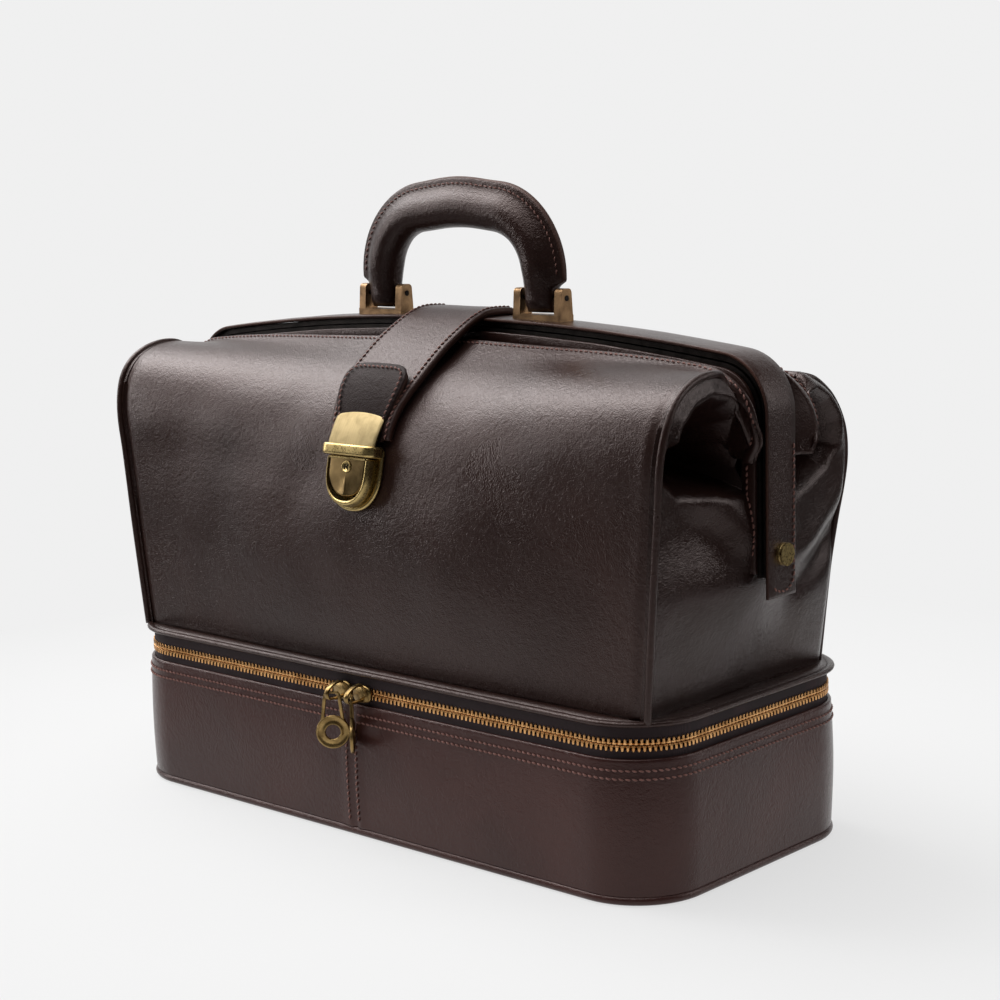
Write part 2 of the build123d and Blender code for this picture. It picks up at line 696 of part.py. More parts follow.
with BuildPart() as handle_leather:
    with BuildSketch(foot):
        Circle(GRIP_RADIUS)
        with Locations((-GRIP_RADIUS - FIN_HEIGHT / 2 + 1.5, 0)):
            Rectangle(FIN_HEIGHT + 3, 4.2)
    sweep(path=grip_path)
    add(handle_ends(), mode=Mode.INTERSECT)
    for side in (-1, 1):
        with Locations((side * (HANDLE_PIN_X + 15.3), 0, HANDLE_PIN_Z - 5)):
            Box(10, 30, 24, mode=Mode.SUBTRACT)
    with BuildSketch(foot):
        Circle(CORE_RADIUS + 0.05)
    sweep(path=grip_path, mode=Mode.SUBTRACT)
    add(eye_holes(2.65), mode=Mode.SUBTRACT)
save(handle_leather.part, "handle_leather")

with BuildPart() as handle_eyes:
    for side in (-1, 1):
        with Locations(Plane(origin=(side * BRACKET_X, 0, HANDLE_PIN_Z), z_dir=(1, 0, 0))):
            Cylinder(2.6, BRACKET_GAP - 0.6)
            Cylinder(PIN_RADIUS + 0.05, BRACKET_GAP, mode=Mode.SUBTRACT)
save(handle_eyes.part, "handle_eyes")

# ---- closing strap ----------------------------------------------------------
STRAP_LINE = [
    (-84.5, 212.5), (-81.5, 222), (-74, 231), (-64, 239), (-57, 245), (-45, 252), (-29, 261), (-19.5, 266.8),
    (-14, 270.2),
]
TAB_LINE = inward(STRAP_LINE[:6], -2.4)
TONGUE_LINE = [(-90.0, 211.2), (-88.7, 215.6), (-86.4, 221.5), (-83.4, 226.8)]

with BuildPart() as strap_anchor:
    with BuildSketch(Plane.YZ.offset(-STRAP_WIDTH / 2)) as anchor_outline:
        with BuildLine():
            Polyline(
                (-11.9, 270.1),
                (12.0, 270.1),
                (12.0, 246),
                (15.4, 246),
                (15.4, 273.4),
                (-11.9, 273.4),
                close=True,
            )
        make_face()
        fillet(anchor_outline.vertices().group_by(Axis.Y)[-1].sort_by(Axis.X)[-1], radius=3.0)
    extrude(amount=STRAP_WIDTH)
save(strap_anchor.part, "strap_anchor")
save(strap_sheet(STRAP_LINE, 44.0, STRAP_WIDTH, STRAP_THICK), "closing_strap")
save(strap_sheet(TAB_LINE, 38.0, 45.0, 2.3), "strap_tab")
save(strap_sheet(TONGUE_LINE, 34.0, 36.0, 1.4), "lock_tongue")
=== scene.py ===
"""Looks for the leather doctor bag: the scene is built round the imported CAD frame.

Lengths are in millimetres until a mesh is made. X runs along the bag, -Y is the
front and Z is up, as in the CAD model. `side` is 1 for the right end of the bag
and -1 for the left, and `end` is -1 for the front and 1 for the rear.
"""

import json
import math
import random

import bpy
import numpy as np
from mathutils import Matrix, Vector, noise


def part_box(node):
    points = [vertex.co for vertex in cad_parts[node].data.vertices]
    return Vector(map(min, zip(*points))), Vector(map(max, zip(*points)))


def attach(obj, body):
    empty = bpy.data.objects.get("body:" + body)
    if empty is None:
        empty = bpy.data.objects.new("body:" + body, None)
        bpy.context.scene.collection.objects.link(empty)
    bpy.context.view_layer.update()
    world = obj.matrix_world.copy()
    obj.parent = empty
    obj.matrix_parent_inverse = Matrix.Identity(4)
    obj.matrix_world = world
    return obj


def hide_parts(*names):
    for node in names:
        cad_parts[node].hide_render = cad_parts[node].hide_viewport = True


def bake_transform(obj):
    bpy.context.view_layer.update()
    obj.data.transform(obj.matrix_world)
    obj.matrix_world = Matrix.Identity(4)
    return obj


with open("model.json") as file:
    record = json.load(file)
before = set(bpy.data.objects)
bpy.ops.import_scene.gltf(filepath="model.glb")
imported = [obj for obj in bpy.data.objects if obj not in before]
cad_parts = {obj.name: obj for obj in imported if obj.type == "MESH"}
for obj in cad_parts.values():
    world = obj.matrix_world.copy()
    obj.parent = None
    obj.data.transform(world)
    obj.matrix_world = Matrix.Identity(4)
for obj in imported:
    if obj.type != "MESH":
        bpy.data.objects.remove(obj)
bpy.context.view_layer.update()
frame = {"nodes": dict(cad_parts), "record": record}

MM = 0.001

# ---- sizes, from the frame ---------------------------------------------------


def node_box(name):
    """Lowest and highest corner of a CAD node, in millimetres."""
    low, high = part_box(name)
    return Vector(low) / MM, Vector(high) / MM


TRAY_HIGH = node_box("tray_right_wall")[1]
TRAY_HALF_X = TRAY_HIGH.x
TRAY_HALF_Y = TRAY_HIGH.y
TRAY_CORNER = 38.0
TRAY_TOP = TRAY_HIGH.z
ZIP_Z = (node_box("lower_zip_teeth")[1].z + node_box("upper_zip_teeth")[0].z) / 2
ZIP_INSET = 2.7
ZIP_END = 122.0
ZIP_PITCH = 2.8
BAND_LOW_BOX, BAND_HIGH_BOX = node_box("frame_band")
FRAME_HALF = BAND_HIGH_BOX.x
FRAME_ARCH_Z = BAND_HIGH_BOX.z
BAND_HALF = BAND_HIGH_BOX.y
BAND_FOOT = BAND_LOW_BOX.z
PIVOT = Vector((0, 0, 161.0))
SEAM_X = -3.0
SIDE_WORD = {-1: "left", 1: "right"}
END_WORD = {-1: "front", 1: "rear"}


# ---- small tools --------------------------------------------------------------
def smooth(low, high, value):
    """0 below low, 1 above high, and an even S curve between."""
    t = min(max((value - low) / (high - low), 0.0), 1.0)
    return t * t * (3 - 2 * t)


def mix(a, b, t):
    return a + (b - a) * t


def spline(points, count):
    """count points, evenly spaced along a smooth curve through the given ones."""
    p = np.array(points, float)
    p = np.vstack([2 * p[0] - p[1], p, 2 * p[-1] - p[-2]])
    fine = []
    for i in range(1, len(p) - 2):
        for t in np.linspace(0, 1, 24, endpoint=False):
            a, b, c, d = p[i - 1], p[i], p[i + 1], p[i + 2]
            square = 2 * a - 5 * b + 4 * c - d
            cube = 3 * b - a - 3 * c + d
            fine.append(0.5 * (2 * b + (c - a) * t + square * t * t + cube * t**3))
    fine.append(p[-2])
    return resample(np.array(fine), count)


def resample(line, count):
    """count points evenly spaced along a line of points."""
    line = np.array(line, float)
    steps = np.linalg.norm(np.diff(line, axis=0), axis=1)
    length = np.concatenate([[0], np.cumsum(steps)])
    at = np.linspace(0, length[-1], count)
    return np.stack([np.interp(at, length, line[:, k]) for k in range(line.shape[1])], axis=1)


def wobble(point, size, seed=0.0):
    """Smooth noise from -1 to 1 whose bumps are about size across."""
    return noise.noise(Vector(point) / size + Vector((seed, seed * 1.7, -seed)))


def make(name, vertices, faces, material, body=None, smooth_faces=True):
    """A mesh piece from millimetre vertices, with its material, riding on a body."""
    mesh = bpy.data.meshes.new(name)
    mesh.from_pydata([tuple(float(c) * MM for c in v) for v in vertices], [], faces)
    mesh.validate()
    mesh.update()
    piece = bpy.data.objects.new(name, mesh)
    bpy.context.scene.collection.objects.link(piece)
    mesh.materials.append(material)
    for polygon in mesh.polygons:
        polygon.use_smooth = smooth_faces
    if body:
        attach(piece, body)
    return piece


def grid_faces(rows, columns, wrap_rows=False, wrap_columns=False, first=0):
    """Quads between the points of a grid that is stored row by row."""
    faces = []
    for i in range(rows if wrap_rows else rows - 1):
        for j in range(columns if wrap_columns else columns - 1):
            a = first + i * columns + j
            b = first + i * columns + (j + 1) % columns
            c = first + ((i + 1) % rows) * columns + (j + 1) % columns
            d = first + ((i + 1) % rows) * columns + j
            faces.append((a, b, c, d))
    return faces


def capped_faces(rows, around):
    """The faces of a tube stored ring by ring, with a flat cap on each end."""
    faces = grid_faces(rows, around, wrap_columns=True)
    faces.append(tuple(range(around - 1, -1, -1)))
    faces.append(tuple((rows - 1) * around + j for j in range(around)))
    return faces


def flipped(faces):
    """The same faces, turned to face the other way."""
    return [tuple(reversed(f)) for f in faces]


def solid_sheet(outer, inner):
    """A closed skin between two equal grids of points: (vertices, faces)."""
    rows, columns = len(outer), len(outer[0])
    vertices = [p for row in outer for p in row] + [p for row in inner for p in row]
    shift = rows * columns
    faces = grid_faces(rows, columns)
    faces += flipped(grid_faces(rows, columns, first=shift))
    rim = list(range(columns))
    rim += [i * columns + columns - 1 for i in range(1, rows)]
    rim += [(rows - 1) * columns + j for j in range(columns - 2, -1, -1)]
    rim += [i * columns for i in range(rows - 2, 0, -1)]
    for a, b in zip(rim, rim[1:] + rim[:1]):
        faces.append((b, a, a + shift, b + shift))
    return vertices, faces


def thickened(points, thickness):
    """The same grid of points moved by thickness against its own normals."""
    p = np.array(points, float)
    along = np.gradient(p, axis=0)
    across = np.gradient(p, axis=1)
    normal = np.cross(along, across)
    size = np.linalg.norm(normal, axis=2, keepdims=True)
    return p - normal / np.maximum(size, 1e-9) * thickness


def sweep(path, section, up=(0, 1, 0), scale=None):
    """A tube of the given closed section along a path: (vertices, faces).

    section is a list of (sideways, upwards) offsets, and up is the direction
    that the section's second axis keeps to as nearly as the path allows.
    """
    path = np.array(path, float)
    count, around = len(path), len(section)
    vertices = []
    for i in range(count):
        tangent = path[min(i + 1, count - 1)] - path[max(i - 1, 0)]
        tangent = tangent / np.linalg.norm(tangent)
        guide = np.array(up(i) if callable(up) else up, float)
        side = np.cross(tangent, guide)
        side /= np.linalg.norm(side)
        rise = np.cross(side, tangent)
        grow = scale(i / max(count - 1, 1)) if scale else 1.0
        for a, b in section:
            vertices.append(path[i] + (side * a + rise * b) * grow)
    return vertices, capped_faces(count, around)


def circle(radius, count):
    turn = [2 * math.pi * i / count for i in range(count)]
    return [(radius * math.cos(t), radius * math.sin(t)) for t in turn]


def rounded_box(width, height, radius, steps=3):
    """A rounded rectangle, as (x, y) points in order."""
    points = []
    for cx, cy, start in ((1, 1, 0), (-1, 1, 90), (-1, -1, 180), (1, -1, 270)):
        for k in range(steps + 1):
            t = math.radians(start + 90 * k / steps)
            x = cx * (width / 2 - radius) + radius * math.cos(t)
            y = cy * (height / 2 - radius) + radius * math.sin(t)
            points.append((x, y))
    return points


def joined(parts):
    """Several (vertices, faces) as one."""
    vertices, faces = [], []
    for part_vertices, part_faces in parts:
        first = len(vertices)
        vertices += list(part_vertices)
        faces += [tuple(i + first for i in f) for f in part_faces]
    return vertices, faces


def add_bevel(piece, width, angle):
    """Softens edges sharper than the angle in degrees; the width is in metres."""
    bevel = piece.modifiers.new("Edge", "BEVEL")
    bevel.width = width
    bevel.segments = 2
    bevel.limit_method = "ANGLE"
    bevel.angle_limit = math.radians(angle)


# ---- materials ----------------------------------------------------------------
def shader(name, colour, roughness, **settings):
    """A principled material; settings name sockets, such as Metallic=1."""
    material = bpy.data.materials.new(name)
    material.use_nodes = True
    tree = material.node_tree
    surface = tree.nodes["Principled BSDF"]
    surface.inputs["Base Color"].default_value = (*colour, 1)
    surface.inputs["Roughness"].default_value = roughness
    for socket, value in settings.items():
        surface.inputs[socket.replace("_", " ")].default_value = value
    where = tree.nodes.new("ShaderNodeTexCoord")
    return material, tree, surface, where.outputs["Object"]


def add_noise(tree, where, scale, detail=3.0, distortion=0.0, stretch=None):
    if stretch:
        mapping = tree.nodes.new("ShaderNodeMapping")
        mapping.inputs["Scale"].default_value = stretch
        tree.links.new(where, mapping.inputs["Vector"])
        where = mapping.outputs["Vector"]
    node = tree.nodes.new("ShaderNodeTexNoise")
    node.inputs["Scale"].default_value = scale
    node.inputs["Detail"].default_value = detail
    node.inputs["Distortion"].default_value = distortion
    tree.links.new(where, node.inputs["Vector"])
    return node.outputs["Fac"]


def add_ramp(tree, value, stops):
    """Colours or greys along a value. stops are (place, colour)."""
    ramp = tree.nodes.new("ShaderNodeValToRGB")
    while len(ramp.color_ramp.elements) < len(stops):
        ramp.color_ramp.elements.new(0.5)
    for element, (place, colour) in zip(ramp.color_ramp.elements, stops):
        element.position = place
        element.color = (*colour, 1) if isinstance(colour, tuple) else (colour, colour, colour, 1)
    tree.links.new(value, ramp.inputs["Fac"])
    return ramp.outputs["Color"]


def add_bump(tree, height, distance, strength, below=None):
    bump = tree.nodes.new("ShaderNodeBump")
    bump.inputs["Distance"].default_value = distance
    bump.inputs["Strength"].default_value = strength
    tree.links.new(height, bump.inputs["Height"])
    if below:
        tree.links.new(below, bump.inputs["Normal"])
    return bump.outputs["Normal"]


# Marks per metre in each layer of the leather, from its dye to its finest grain.
DYE, POLISH, WAVES, FOLDS, ROUGH, PEBBLES = 11, 14, 18, 60, 380, 900


def leather(name, dark, light, roughness=(0.26, 0.33), grain=0.45, crease=0.12, specular=0.42):
    """Glossy smooth calf: mottled dye, pebble grain, fine creases, worn gloss."""
    material, tree, surface, where = shader(name, light, 0.3, Specular_IOR_Level=specular)
    mottle = add_noise(tree, where, DYE, 5, 0.6)
    colour = add_ramp(tree, mottle, [(0.3, dark), (0.72, light)])
    tree.links.new(colour, surface.inputs["Base Color"])
    polish = add_noise(tree, where, POLISH, 2, 0.2)
    gloss = add_ramp(tree, polish, [(0.3, roughness[0]), (0.75, roughness[1])])
    tree.links.new(gloss, surface.inputs["Roughness"])
    surface.inputs["Specular Tint"].default_value = (1.0, 0.80, 0.76, 1)
    cells = tree.nodes.new("ShaderNodeTexVoronoi")
    cells.inputs["Scale"].default_value = PEBBLES
    cells.feature = "DISTANCE_TO_EDGE"
    tree.links.new(where, cells.inputs["Vector"])
    pebbles = add_ramp(tree, cells.outputs["Distance"], [(0.0, 0.0), (0.25, 1.0)])
    normal = add_bump(tree, pebbles, 0.00014, grain)
    rough = add_noise(tree, where, ROUGH, 3, 0.8)
    normal = add_bump(tree, rough, 0.0006, grain, normal)
    folds = add_noise(tree, where, FOLDS, 3, 1.2)
    normal = add_bump(tree, folds, 0.0006, crease, normal)
    waves = add_noise(tree, where, WAVES, 2, 0.3)
    normal = add_bump(tree, waves, 0.002, crease, normal)
    tree.links.new(normal, surface.inputs["Normal"])
    return material


def metal(name, dark, light, roughness, brush=None, bump=0.15):
    """Antique plated metal with a brushed or cast surface and darker patches."""
    material, tree, surface, where = shader(name, light, roughness, Metallic=1.0)
    patina = add_noise(tree, where, 160, 4, 0.5)
    colour = add_ramp(tree, patina, [(0.3, dark), (0.62, light)])
    tree.links.new(colour, surface.inputs["Base Color"])
    lines = add_noise(tree, where, 900, 2, 0, stretch=brush or (1, 1, 1))
    gloss = add_ramp(tree, lines, [(0.3, max(roughness - 0.08, 0.05)), (0.7, roughness + 0.1)])
    tree.links.new(gloss, surface.inputs["Roughness"])
    tree.links.new(add_bump(tree, lines, 0.00005, bump), surface.inputs["Normal"])
    return material


def cloth(name, dark, light, scale, roughness=0.85, sheen=0.1):
    """Woven stuff: two crossed sets of threads."""
    material, tree, surface, where = shader(name, light, roughness, Sheen_Weight=sheen)
    waves = []
    for direction in ("X", "Z"):
        wave = tree.nodes.new("ShaderNodeTexWave")
        wave.bands_direction = direction
        wave.inputs["Scale"].default_value = scale
        wave.inputs["Distortion"].default_value = 0.4
        tree.links.new(where, wave.inputs["Vector"])
        waves.append(wave.outputs["Fac"])
    cross = tree.nodes.new("ShaderNodeMath")
    cross.operation = "MULTIPLY"
    tree.links.new(waves[0], cross.inputs[0])
    tree.links.new(waves[1], cross.inputs[1])
    colour = add_ramp(tree, cross.outputs[0], [(0.1, dark), (0.8, light)])
    tree.links.new(colour, surface.inputs["Base Color"])
    tree.links.new(add_bump(tree, cross.outputs[0], 0.0002, 0.5), surface.inputs["Normal"])
    return material


BAG_LEATHER = leather("bag_leather", (0.015, 0.0064, 0.0052), (0.026, 0.011, 0.0086))
TRAY_LEATHER = leather(
    "tray_leather", (0.022, 0.0078, 0.0068), (0.044, 0.0155, 0.013), (0.21, 0.29), 0.35, 0.22, 0.38
)
GUSSET_LEATHER = leather(
    "gusset_leather", (0.011, 0.005, 0.0041), (0.021, 0.0092, 0.0073), (0.2, 0.28), 0.4, 0.2, 0.38
)
STRAP_LEATHER = leather(
    "strap_leather", (0.022, 0.011, 0.010), (0.034, 0.0175, 0.0155), (0.32, 0.42), 0.5, 0.1
)
TAB_LEATHER = leather(
    "tab_leather", (0.009, 0.0042, 0.0038), (0.016, 0.0076, 0.0068), (0.42, 0.5), 0.5, 0.2, 0.12
)
EDGE = leather("raw_edge", (0.022, 0.008, 0.005), (0.06, 0.02, 0.011), (0.5, 0.7), 0.4, 0.3)
THREAD = cloth("thread", (0.16, 0.06, 0.045), (0.3, 0.135, 0.105), 2500, 0.7)
TAPE = cloth("zip_tape", (0.012, 0.004, 0.005), (0.034, 0.012, 0.015), 900, sheen=0.0)
LINING = cloth("lining", (0.08, 0.05, 0.032), (0.17, 0.11, 0.07), 700)
BOARD = cloth("board", (0.05, 0.035, 0.022), (0.11, 0.08, 0.05), 300)
ROPE = cloth("rope", (0.2, 0.15, 0.1), (0.4, 0.32, 0.22), 500)
ZIP_METAL = metal("zip_metal", (0.42, 0.2, 0.07), (0.74, 0.41, 0.17), 0.28)
LOCK_BRASS = metal("lock_brass", (0.38, 0.275, 0.11), (0.48, 0.355, 0.15), 0.3, bump=0.02)
THUMB_BRONZE = metal("thumb_bronze", (0.12, 0.078, 0.03), (0.2, 0.132, 0.054), 0.36, bump=0.03)
SLIDER_BRASS = metal("slider_brass", (0.13, 0.082, 0.03), (0.36, 0.24, 0.095), 0.32)
BRACKET_BRONZE = metal("bracket_bronze", (0.16, 0.095, 0.05), (0.34, 0.21, 0.11), 0.42)
# The frame steel is coloured near-black as painted shade: it only shows in the gaps under the band and the
# jaws, which are dark with shade.
STEEL_PAINTED_SHADE = metal("steel", (0.012, 0.01, 0.009), (0.03, 0.025, 0.023), 0.5)


# ---- stitches -------------------------------------------------------------------
def stitches(name, runs, body=None, pitch=3.2, length=2.5, radius=0.58, seed=1):
    """Sewn thread: a short twisted bead for every stitch along each run.

    A run is a list of (point, outward normal). All the runs make one piece.
    """
    dice = random.Random(seed)
    around, rings = 5, ((0.0, 0.25), (0.22, 0.85), (0.5, 1.0), (0.78, 0.85), (1.0, 0.25))
    parts = []
    for run in runs:
        points = np.array([np.array(p, float) for p, _ in run])
        normals = np.array([np.array(n, float) for _, n in run])
        steps = np.linalg.norm(np.diff(points, axis=0), axis=1)
        total = steps.sum()
        at = np.concatenate([[0], np.cumsum(steps)])
        count = max(int(total / pitch), 1)
        for k in range(count):
            middle = (k + 0.5) * total / count
            ends = []
            for s in (middle - length / 2, middle + length / 2):
                ends.append(np.array([np.interp(s, at, points[:, c]) for c in range(3)]))
            normal = np.array([np.interp(middle, at, normals[:, c]) for c in range(3)])
            normal /= np.linalg.norm(normal)
            tangent = ends[1] - ends[0]
            tangent /= np.linalg.norm(tangent)
            side = np.cross(tangent, normal)
            skew = side * (0.28 + dice.uniform(-0.1, 0.1))
            vertices = []
            for t, wide in rings:
                arch = 0.32 * radius * math.sin(math.pi * t) * 2 - 0.05
                centre = mix(ends[0] - skew, ends[1] + skew, t) + normal * arch
                for j in range(around):
                    turn = 2 * math.pi * (j / around)
                    spoke = side * math.cos(turn) + normal * math.sin(turn) * 0.8
                    vertices.append(centre + spoke * radius * wide)
            parts.append((vertices, capped_faces(len(rings), around)))
    vertices, faces = joined(parts)
    return make(name, vertices, faces, THREAD, body)


# ---- the tray's plan -------------------------------------------------------------
def plan_point(s, inset=0.0):
    """A point and outward normal on the tray's rounded plan; s runs from 0 to 1.

    It starts at the middle of the back and goes round by the left end, the
    front and the right end.
    """
    half_x, half_y = TRAY_HALF_X - TRAY_CORNER, TRAY_HALF_Y - TRAY_CORNER
    arc = TRAY_CORNER * math.pi / 2
    runs = [half_x, arc, 2 * half_y, arc, 2 * half_x, arc, 2 * half_y, arc, half_x]
    rest = (s % 1.0) * sum(runs)
    corners = [(-half_x, half_y, 90), (-half_x, -half_y, 180), (half_x, -half_y, 270), (half_x, half_y, 0)]
    starts = [
        (0, half_y), None, (-half_x, half_y), None, (-half_x, -half_y), None, (half_x, -half_y), None,
        (half_x, half_y),
    ]
    headings = [(-1, 0), None, (0, -1), None, (1, 0), None, (0, 1), None, (-1, 0)]
    for k, run in enumerate(runs):
        if rest <= run or k == len(runs) - 1:
            break
        rest -= run
    if k % 2 == 0:
        hx, hy = headings[k]
        nx, ny = hy, -hx
        x, y = starts[k][0] + hx * rest, starts[k][1] + hy * rest
        x, y = x + nx * (TRAY_CORNER - inset), y + ny * (TRAY_CORNER - inset)
        return Vector((x, y, 0)), Vector((nx, ny, 0))
    cx, cy, start = corners[k // 2]
    turn = math.radians(start) + rest / TRAY_CORNER
    normal = Vector((math.cos(turn), math.sin(turn), 0))
    return Vector((cx, cy, 0)) + normal * (TRAY_CORNER - inset), normal


PLAN_STEPS = 420


def plan_sweep(profile, start=0.0, stop=1.0, wave=None, steps=PLAN_STEPS):
    """Sweeps (outward, z) points round the plan: rows of points along it."""
    closed = stop - start >= 1.0
    count = int(steps * (stop - start))
    rows = []
    for i in range(count if closed else count + 1):
        s = start + (stop - start) * i / count
        point, normal = plan_point(s)
        row = []
        for out, z in profile:
            push = out + (wave(point, z) if wave else 0.0)
            row.append((point.x + normal.x * push, point.y + normal.y * push, z))
        rows.append(row)
    return rows, closed


def plan_tube(name, profile, material, body, start=0.0, stop=1.0, wave=None):
    """A piece swept round the plan from a closed (outward, z) profile."""
    rows, closed = plan_sweep(profile, start, stop, wave)
    vertices = [p for row in rows for p in row]
    if closed:
        faces = grid_faces(len(rows), len(profile), wrap_rows=True, wrap_columns=True)
    else:
        faces = capped_faces(len(rows), len(profile))
    return make(name, vertices, flipped(faces), material, body)


def bead_profile(out, z, half_width, half_height, count):
    """An oval of (outward, z) points, for a bead that is swept round the plan."""
    turn = np.linspace(0, 2 * math.pi, count, endpoint=False)
    return [(out + half_width * math.cos(t), z + half_height * math.sin(t)) for t in turn]


def plan_length():
    return 4 * (TRAY_HALF_X + TRAY_HALF_Y - 2 * TRAY_CORNER) + 2 * math.pi * TRAY_CORNER


def plan_place(x, rear=False):
    """The share round the plan at which the front, or the back, reaches x."""
    total = plan_length()
    half_x = TRAY_HALF_X - TRAY_CORNER
    if rear:
        return (-x / total) % 1.0
    before = half_x + TRAY_CORNER * math.pi + 2 * (TRAY_HALF_Y - TRAY_CORNER)
    return (before + half_x + x) / total


def plan_run(out, z, start, stop, spacing=2.0, wave=None):
    """Points and outward normals along the plan, for stitches."""
    count = max(int((stop - start) * plan_length() / spacing), 2)
    run = []
    for i in range(count + 1):
        point, normal = plan_point(start + (stop - start) * i / count)
        push = out + (wave(point, z) if wave else 0.0)
        run.append(((point.x + normal.x * push, point.y + normal.y * push, z), tuple(normal)))
    return run


# ---- tray --------------------------------------------------------------------------
def tray_wave(point, z):
    """How far the tray's leather stands off its outline: sag, dents and the seam."""
    height = z / TRAY_TOP
    bow = math.sin(math.pi * min(max(height, 0), 1))
    sag = 1.1 * bow
    dents = 0.9 * wobble((point.x, point.y, z), 62, 3.1) * bow
    seam = 0.0
    if abs(point.y) > TRAY_HALF_Y - 5:
        off = abs(point.x - SEAM_X)
        seam = 0.55 * math.exp(-((off - 3.6) / 3.2) ** 2) - 1.1 * math.exp(-((off / 0.8) ** 2))
    fade = smooth(TRAY_TOP, TRAY_TOP - 8, z) if z > TRAY_TOP - 8 else 1.0
    return (sag + dents) * fade + seam * (0.3 + 0.7 * fade)


def make_tray():
    thick = 2.4
    heights = [4.2, 5.2, 7.5, 12, 18, 26, 34, 42, 50, 57, 62, 65.5, 68, 70, 71.2]
    outer = [(0.0, z) for z in heights]
    outer += [(-0.35, 71.8), (-1.2, 72.1), (-2.1, 71.7)]
    inner = [(-thick, z) for z in reversed(heights)]
    wall = plan_tube("tray_wall", outer + inner, TRAY_LEATHER, "tray", wave=tray_wave)
    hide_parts("tray_left_wall", "tray_right_wall", "tray_seam_backing")

    bead = bead_profile(-1.2, 2.45, 2.25, 2.3, 14)
    piping = plan_tube("bottom_piping", bead, TRAY_LEATHER, "tray")
    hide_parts("tray_piping")

    rows, around = [], PLAN_STEPS // 2
    for ring in (0.0, 0.35, 0.7, 0.88, 0.96, 1.0):
        rows.append([])
        for i in range(around):
            point = plan_point(i / around, 1.6)[0]
            x, y = point.x * ring, point.y * ring
            z = 0.35 * (1 - ring**6) + 1.4 * smooth(0.9, 1.0, ring) + 0.12 * wobble((x, y, 0), 45)
            rows[-1].append((x, y, max(z, 0.05)))
    top = [[(x, y, 2.2) for x, y, _ in row] for row in rows]
    vertices = [p for row in rows + list(reversed(top)) for p in row]
    faces = flipped(grid_faces(len(rows) * 2, around, wrap_columns=True))
    underside = make("tray_underside", vertices, faces, TRAY_LEATHER, "tray")
    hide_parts("tray_bottom")

    runs = []
    for z in (62.5, 66.6):
        for start, stop in ((0.0, plan_place(SEAM_X - 4)), (plan_place(SEAM_X + 4), 1.0)):
            runs.append(plan_run(0.12, z, start, stop, wave=tray_wave))
    for face in (-1, 1):
        for row in (-3.4, 3.4):
            run = []
            for z in np.arange(8, 61, 1.5):
                x = SEAM_X + row
                out = 0.1 + tray_wave(Vector((x, face * TRAY_HALF_Y, 0)), z)
                run.append(((x, face * (TRAY_HALF_Y + out), z), (0, face, 0)))
            runs.append(run)
    stitches("tray_stitches", runs, "tray", seed=2)


make_tray()


# ---- zip -----------------------------------------------------------------------------
ZIP_START = plan_place(-ZIP_END, rear=True)
ZIP_STOP = plan_place(ZIP_END, rear=True)


def tooth(rises):
    """One zip tooth at the origin: a clamped leg that ends in a rounded head."""
    stages = [
        (0.12, 2.05, 2.0), (0.32, 2.45, 2.6), (0.95, 2.45, 2.7), (1.25, 1.5, 2.75),
        (2.6, 1.25, 2.7), (3.0, 1.1, 2.5), (3.15, 0.8, 2.0),
    ]
    vertices, around = [], 8
    for height, width, depth in stages:
        for x, y in rounded_box(width, depth, min(width, depth) * 0.28, 1):
            vertices.append((x, y, rises * height))
    faces = capped_faces(len(stages), around)
    return vertices, flipped(faces) if rises < 0 else faces


def make_teeth(name, rises, body, replaced):
    base, faces = tooth(rises)
    total = (ZIP_STOP - ZIP_START) * plan_length()
    count = int(total / ZIP_PITCH)
    parts = []
    for k in range(count):
        s = ZIP_START + (ZIP_STOP - ZIP_START) * (k + 0.25 + 0.5 * (rises > 0)) / count
        point, normal = plan_point(s, ZIP_INSET)
        heading = Vector((-normal.y, normal.x, 0))
        parts.append(([
            point + heading * x + normal * y + Vector((0, 0, ZIP_Z + z)) for x, y, z in base
        ], faces))
    vertices, faces = joined(parts)
    row = make(name, vertices, faces, ZIP_METAL, body, smooth_faces=False)
    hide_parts(replaced)


def make_zip():
    def rumple(point, z):
        return 0.22 * wobble((point.x, point.y, z), 17, 6.4) if abs(z - ZIP_Z) > 4.5 else 0.0

    for name, body, low, high, edge, replaced in (
        ("lower_tape", "tray", 58.0, ZIP_Z - 2.4, 1, "lower_zip_tape"),
        ("upper_tape", "upper", ZIP_Z + 2.4, 88.2, -1, "upper_zip_tape"),
    ):
        near, far = (high, low) if edge > 0 else (low, high)
        shares = (0.1, 0.2, 0.35, 0.5, 0.7, 0.85, 1.0)
        profile = [(-ZIP_INSET + 0.45, mix(near, far, t)) for t in shares]
        profile += [(-ZIP_INSET - 0.45, mix(near, far, t)) for t in reversed(shares)]
        # The corded edge that the teeth clamp.
        for out, rise in ((-0.85, -0.2), (0.0, 0.35), (0.85, -0.2)):
            profile.append((-ZIP_INSET + out, near + edge * rise))
        if edge > 0:
            profile.reverse()
        tape = plan_tube(name, profile, TAPE, body, ZIP_START, ZIP_STOP, rumple)
        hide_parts(replaced)
    make_teeth("lower_teeth", -1, "tray", "lower_zip_teeth")
    make_teeth("upper_teeth", 1, "upper", "upper_zip_teeth")

    for side in (-1, 1):
        place = ZIP_START if side < 0 else ZIP_STOP
        point = plan_point(place, ZIP_INSET)[0]
        for level, body in ((-1, "tray"), (1, "upper")):
            vertices = []
            for depth, grow in ((-1.7, 0.8), (-1.4, 1.0), (0, 1.0), (1.4, 1.0), (1.7, 0.8)):
                for x, z in rounded_box(3.2 * grow, 3.0 * grow, 0.7):
                    vertices.append((point.x - side * 2.2 + x, point.y + depth, ZIP_Z + level * 1.8 + z))
            name = f"{SIDE_WORD[side]}_zip_stop_{'upper' if level > 0 else 'lower'}"
            make(name, vertices, capped_faces(5, 16), ZIP_METAL, body)


make_zip()


